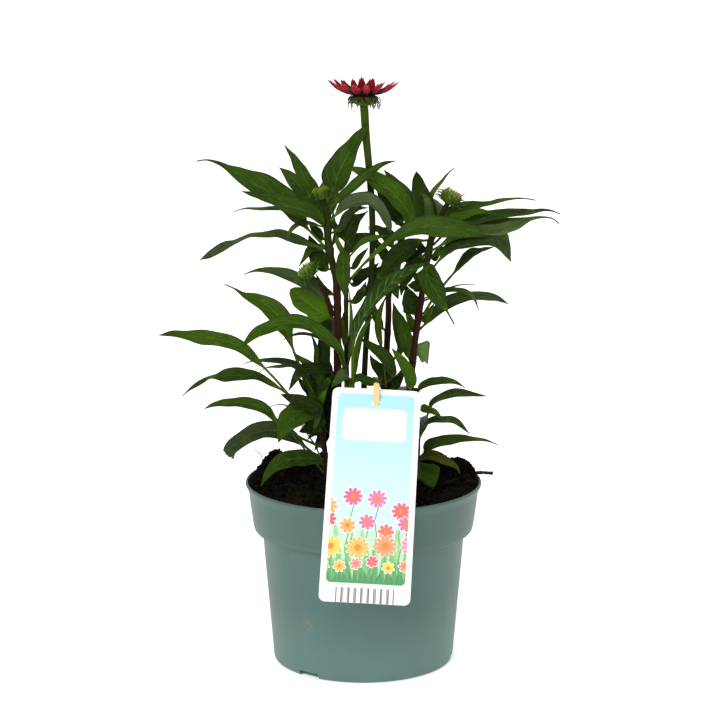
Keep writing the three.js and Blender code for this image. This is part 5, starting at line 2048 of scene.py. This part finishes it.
@dataclass
class Label:
    """Card that leans from its stick over the rim, gently bowed."""

    width: float = 70.0
    length: float = 179.0
    thickness: float = 0.5
    corner: float = 5.0
    bow: float = 1.0
    top: Triple = (10.7, -34.4, 231.4)
    bottom: Triple = (0.4, -140.6, 89.6)
    slot: Triple = (12.0, 5.6, 4.0)

    def grid_lines(self) -> tuple[Array, Array]:
        """Places the grid's lines on the slot's sides and close together near the corners.

        Returns:
            Their places across and along the card.
        """
        half = self.width / 2
        curve = self.corner * (1 - np.cos(np.linspace(0, np.pi / 2, 7)))
        slot_at, slot_wide, slot_long = self.slot
        between = [-20, -11, -slot_wide / 2, slot_wide / 2, 11, 20]
        xs = np.concatenate([-half + curve, between, (half - curve)[::-1]])
        cut = [slot_at - slot_long / 2, slot_at + slot_long / 2]
        ys = np.concatenate([curve, cut, np.linspace(24, 165, 24), (self.length - curve)[::-1]])
        return xs, -ys

    def outline(self, xs: Array, ys: Array) -> tuple[Array, Array]:
        """Draws the grid in at the round corners.

        Args:
            xs: Lines across the card.
            ys: Lines along it.

        Returns:
            Places across and along, shaped (rows, columns).
        """
        straight, corner = self.width / 2 - self.corner, self.corner
        to_end = np.minimum(-ys, self.length + ys)
        curve = np.sqrt(np.maximum(corner ** 2 - np.maximum(corner - to_end, 0) ** 2, 0))
        reach = np.abs(xs)[None, :]
        beyond = np.maximum(reach - straight, 0) / corner
        x = np.sign(xs)[None, :] * (np.minimum(reach, straight) + beyond * curve[:, None])
        return x, np.broadcast_to(ys[:, None], x.shape)

    def faces(self, xs: Array, ys: Array) -> list[tuple[int, ...]]:
        """Faces the card all round, with the slot left open.

        Args:
            xs: Lines across the card.
            ys: Lines along it.

        Returns:
            Faces on the front's vertices, row by row, and then the back's.
        """
        rows, columns = len(ys), len(xs)
        index = np.arange(rows * columns).reshape(rows, columns)
        slot_at, slot_wide, slot_long = self.slot
        slot_row = int(np.argmin(np.abs(ys + slot_at - slot_long / 2)))
        slot_column = int(np.argmin(np.abs(xs + slot_wide / 2)))
        faces, hole, offset = [], [], rows * columns
        for r in range(rows - 1):
            for c in range(columns - 1):
                quad = [index[r, c], index[r + 1, c], index[r + 1, c + 1], index[r, c + 1]]
                if (r, c) == (slot_row, slot_column):
                    hole = quad
                else:
                    faces += [quad, [i + offset for i in reversed(quad)]]
        rim = [*index[0], *index[1:, -1], *index[-1, -2::-1], *index[-2:0:-1, 0]]
        for loop in (rim, hole):
            faces += [(a, b, b + offset, a + offset) for a, b in zip(loop, loop[1:] + loop[:1])]
        return [tuple(int(i) for i in face) for face in faces]

    def build(self) -> None:
        """Makes the card."""
        xs, ys = self.grid_lines()
        x, y = self.outline(xs, ys)
        top, bottom = np.array(self.top), np.array(self.bottom)
        upward = unit(top - bottom)
        across = unit(np.array([1.0, 0, 0]) - upward * upward[0])
        outward = np.cross(across, upward)
        bow = self.bow * (1 - (2 * y / self.length + 1) ** 2) * 0.5
        bow = bow - self.bow * (x / (self.width / 2)) ** 2 * 0.5
        flat = top + across * x[..., None] + upward * y[..., None]
        front = flat + outward * (bow + self.thickness)[..., None]
        back = flat + outward * bow[..., None]
        place = np.stack([x, y, np.ones_like(x)], axis=-1).reshape(-1, 3)
        places = np.concatenate([place, place * [1, 1, 0]])
        points = np.concatenate([front.reshape(-1, 3), back.reshape(-1, 3)]) * MM
        skin = Skin()
        skin.add(points, self.faces(xs, ys), places, BLANK)
        settle(skin.build("printed_card", CardFinish().material(), 40), "card", "label_card")


@dataclass(frozen=True)
class BambooFinish:
    """Pale bamboo with fine long fibres."""

    def material(self) -> Material:
        """Makes the stick's material.

        Returns:
            The material.
        """
        g = Graph("bamboo")
        x, y, z = g.parts(g.place())
        fibres = g.noise(g.vector(x * 1.0, y * 1.0, z * 0.03), 1800.0, 3.0)
        bands = g.noise(g.vector(0.0, 0.0, z), 60.0, 2.0)
        base = g.ramp(fibres * 0.6 + bands * 0.4, (0.3, "#b98f52"), (0.5, "#dcbd83"), (0.75, "#ecd7a6"))
        return g.finish(base, 0.5 + fibres * 0.15, fibres, 0.0002)


@dataclass
class Stick:
    """Flat bamboo stick with a rounded head and a nick on either side."""

    width: float = 5.0
    thickness: float = 1.8
    at: Pair = (10.2, -42.0)
    sunk: float = 6.0
    nick: float = 231.5
    nick_depth: float = 0.55
    nick_reach: float = 0.8
    top: float = 238.8
    head: float = 2.5
    squareness: float = 0.45
    sides: int = 20

    def build(self) -> None:
        """Makes the stick from a foot in the soil to its head."""
        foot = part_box("label_stick")[0].z / MM - self.sunk
        shaft = np.linspace(foot, self.nick - 3, 30)
        heights = np.concatenate([shaft, np.linspace(self.nick - 2.5, self.top, 26)])
        near_top = np.clip(1 - (self.top - heights) / self.head, 0, 1)
        head = np.sqrt(np.clip(1 - near_top ** 2, 0.0004, 1))
        nick = self.nick_depth * np.exp(-((heights - self.nick) / self.nick_reach) ** 2)
        half = self.width / 2 * head - nick
        deep = self.thickness / 2 * np.clip(head * 1.3, 0, 1)
        angle = full_turn(self.sides)
        ring_x, ring_y = (np.sign(v) * np.abs(v) ** self.squareness for v in (np.cos(angle), np.sin(angle)))
        rings = np.stack([
            self.at[0] + half[:, None] * ring_x, self.at[1] + deep[:, None] * ring_y,
            np.broadcast_to(heights[:, None], (len(heights), self.sides)),
        ], axis=-1) * MM
        skin = Skin()
        skin.loft(rings)
        settle(skin.build("bamboo_stick", BambooFinish().material(), 50), "bamboo", "label_stick")


# ---- studio


@dataclass(frozen=True)
class Softbox:
    """A square light that faces the plant: its place and side in metres, and its power in watts."""

    name: str
    at: Triple
    size: float
    power: float

    AIM = Vector((0, 0, 0.25))

    def add(self) -> None:
        """Hangs the light."""
        data = bpy.data.lights.new(self.name, "AREA")
        data.size = self.size
        data.energy = self.power
        light = linked(self.name, data)
        light.location = self.at
        light.rotation_euler = (self.AIM - Vector(self.at)).to_track_quat("-Z", "Y").to_euler()


@dataclass(frozen=True)
class Studio:
    """Camera, a soft key, fill and top light, a white sweep behind and a pale floor."""

    eye: Triple = (-0.0028, -2.0, 0.674)
    pitch: float = 77.97
    lens: float = 127.285
    backdrop: float = 1.0
    ambient: float = 0.28
    sweep: float = 0.75
    lights: tuple[Softbox, ...] = (
        Softbox("key", (-0.8, -2.1, 1.6), 1.4, 40.0),
        Softbox("fill", (1.9, -1.2, 1.0), 1.2, 5.0),
        Softbox("top", (0.2, -0.3, 2.2), 1.2, 9.0),
    )
    floor_reach: float = 30.0
    # Glow of the floor near the pot and far off: painted light.
    glow: tuple[str, str] = ("#b4b4b4", "#e0e0e0")
    glow_reach: Pair = (0.08, 0.6)

    SENSOR = 36
    FARTHEST = 100

    def camera(self) -> None:
        """Sets the camera up."""
        data = bpy.data.cameras.new("camera")
        data.lens = self.lens
        data.sensor_width = self.SENSOR
        data.clip_end = self.FARTHEST
        camera = linked("camera", data)
        camera.location = self.eye
        camera.rotation_euler = (math.radians(self.pitch), 0, 0)
        bpy.context.scene.camera = camera

    def surround(self) -> None:
        """Makes the world: white to look at, and bright behind the plant but dim before it."""
        world = bpy.data.worlds.new("studio")
        g = Graph("studio", world)
        direction = g.node("TexCoord", {}, {}, "Generated")
        _, y, _ = g.parts(direction)
        seen = g.node("LightPath", {}, {}, "Is Camera Ray")
        lit = y.fade(-0.1, 0.6) * self.sweep + self.ambient
        strength = seen * self.backdrop + (1 - seen) * lit
        g.surface(g.node("Background", {}, {"Color": (1, 1, 1, 1), "Strength": strength}))
        bpy.context.scene.world = world

    def floor(self) -> None:
        """Lays the floor."""
        g = Graph("floor")
        place = g.place()
        x, y, _ = g.parts(place)
        # Painted light: the floor glows as if lit, more weakly near the pot than far off, so it reads white
        # away from the pot and also lights the plant.
        far = ((x * x + y * y) ** 0.5).fade(*self.glow_reach)
        glow = g.mix(far, self.glow[0], self.glow[1])
        base = g.mix(g.noise(place, 3.0), "#fafafa", "#fcfcfc")
        material = g.finish(base, 0.9, Specular_IOR_Level=0.1, Emission_Color=glow, Emission_Strength=1.0)
        mesh = bpy.data.meshes.new("floor")
        reach = self.floor_reach
        corners = [(-reach, -reach, 0), (reach, -reach, 0), (reach, reach, 0), (-reach, reach, 0)]
        mesh.from_pydata(corners, [], [(0, 1, 2, 3)])
        mesh.materials.append(material)
        linked("floor", mesh)

    def build(self) -> None:
        """Makes the studio."""
        self.camera()
        self.surround()
        self.floor()
        for light in self.lights:
            light.add()
        bpy.context.scene.view_settings.view_transform = "Standard"


def main() -> None:
    """Builds the studio and then the plant from the pot up."""
    logging.basicConfig(level=logging.INFO, format="%(name)s: %(message)s")
    Studio().build()
    pot = Pot()
    pot.build()
    Soil(pot).build()
    Twig().build()
    Label().build()
    Stick().build()
    stems = StemSet()
    stems.build()
    LeafSet(stems).build()
    Flower().build(stems.stems["flower_stem"])
    bracts = ScaleFinish("bud_bracts", "#16240a", "#34520e", "#587022").material()
    green = ScaleFinish("bud_florets", "#1c3004", "#4a6c14", "#92a83c").material()
    ripe = ScaleFinish("ripe_bud_florets", "#2e4408", "#62801e", "#a89a4c").material()
    buds = (
        ("left_bud", "left_stem", 1.0, green), ("lower_bud", "bud_branch", 1.12, green),
        ("right_bud", "right_stem", 1.2, ripe),
    )
    for seed, (node, stem, size, young) in enumerate(buds):
        Bud(node, stem, seed, size).build(stems, bracts, young)


if __name__ == "__main__":
    main()
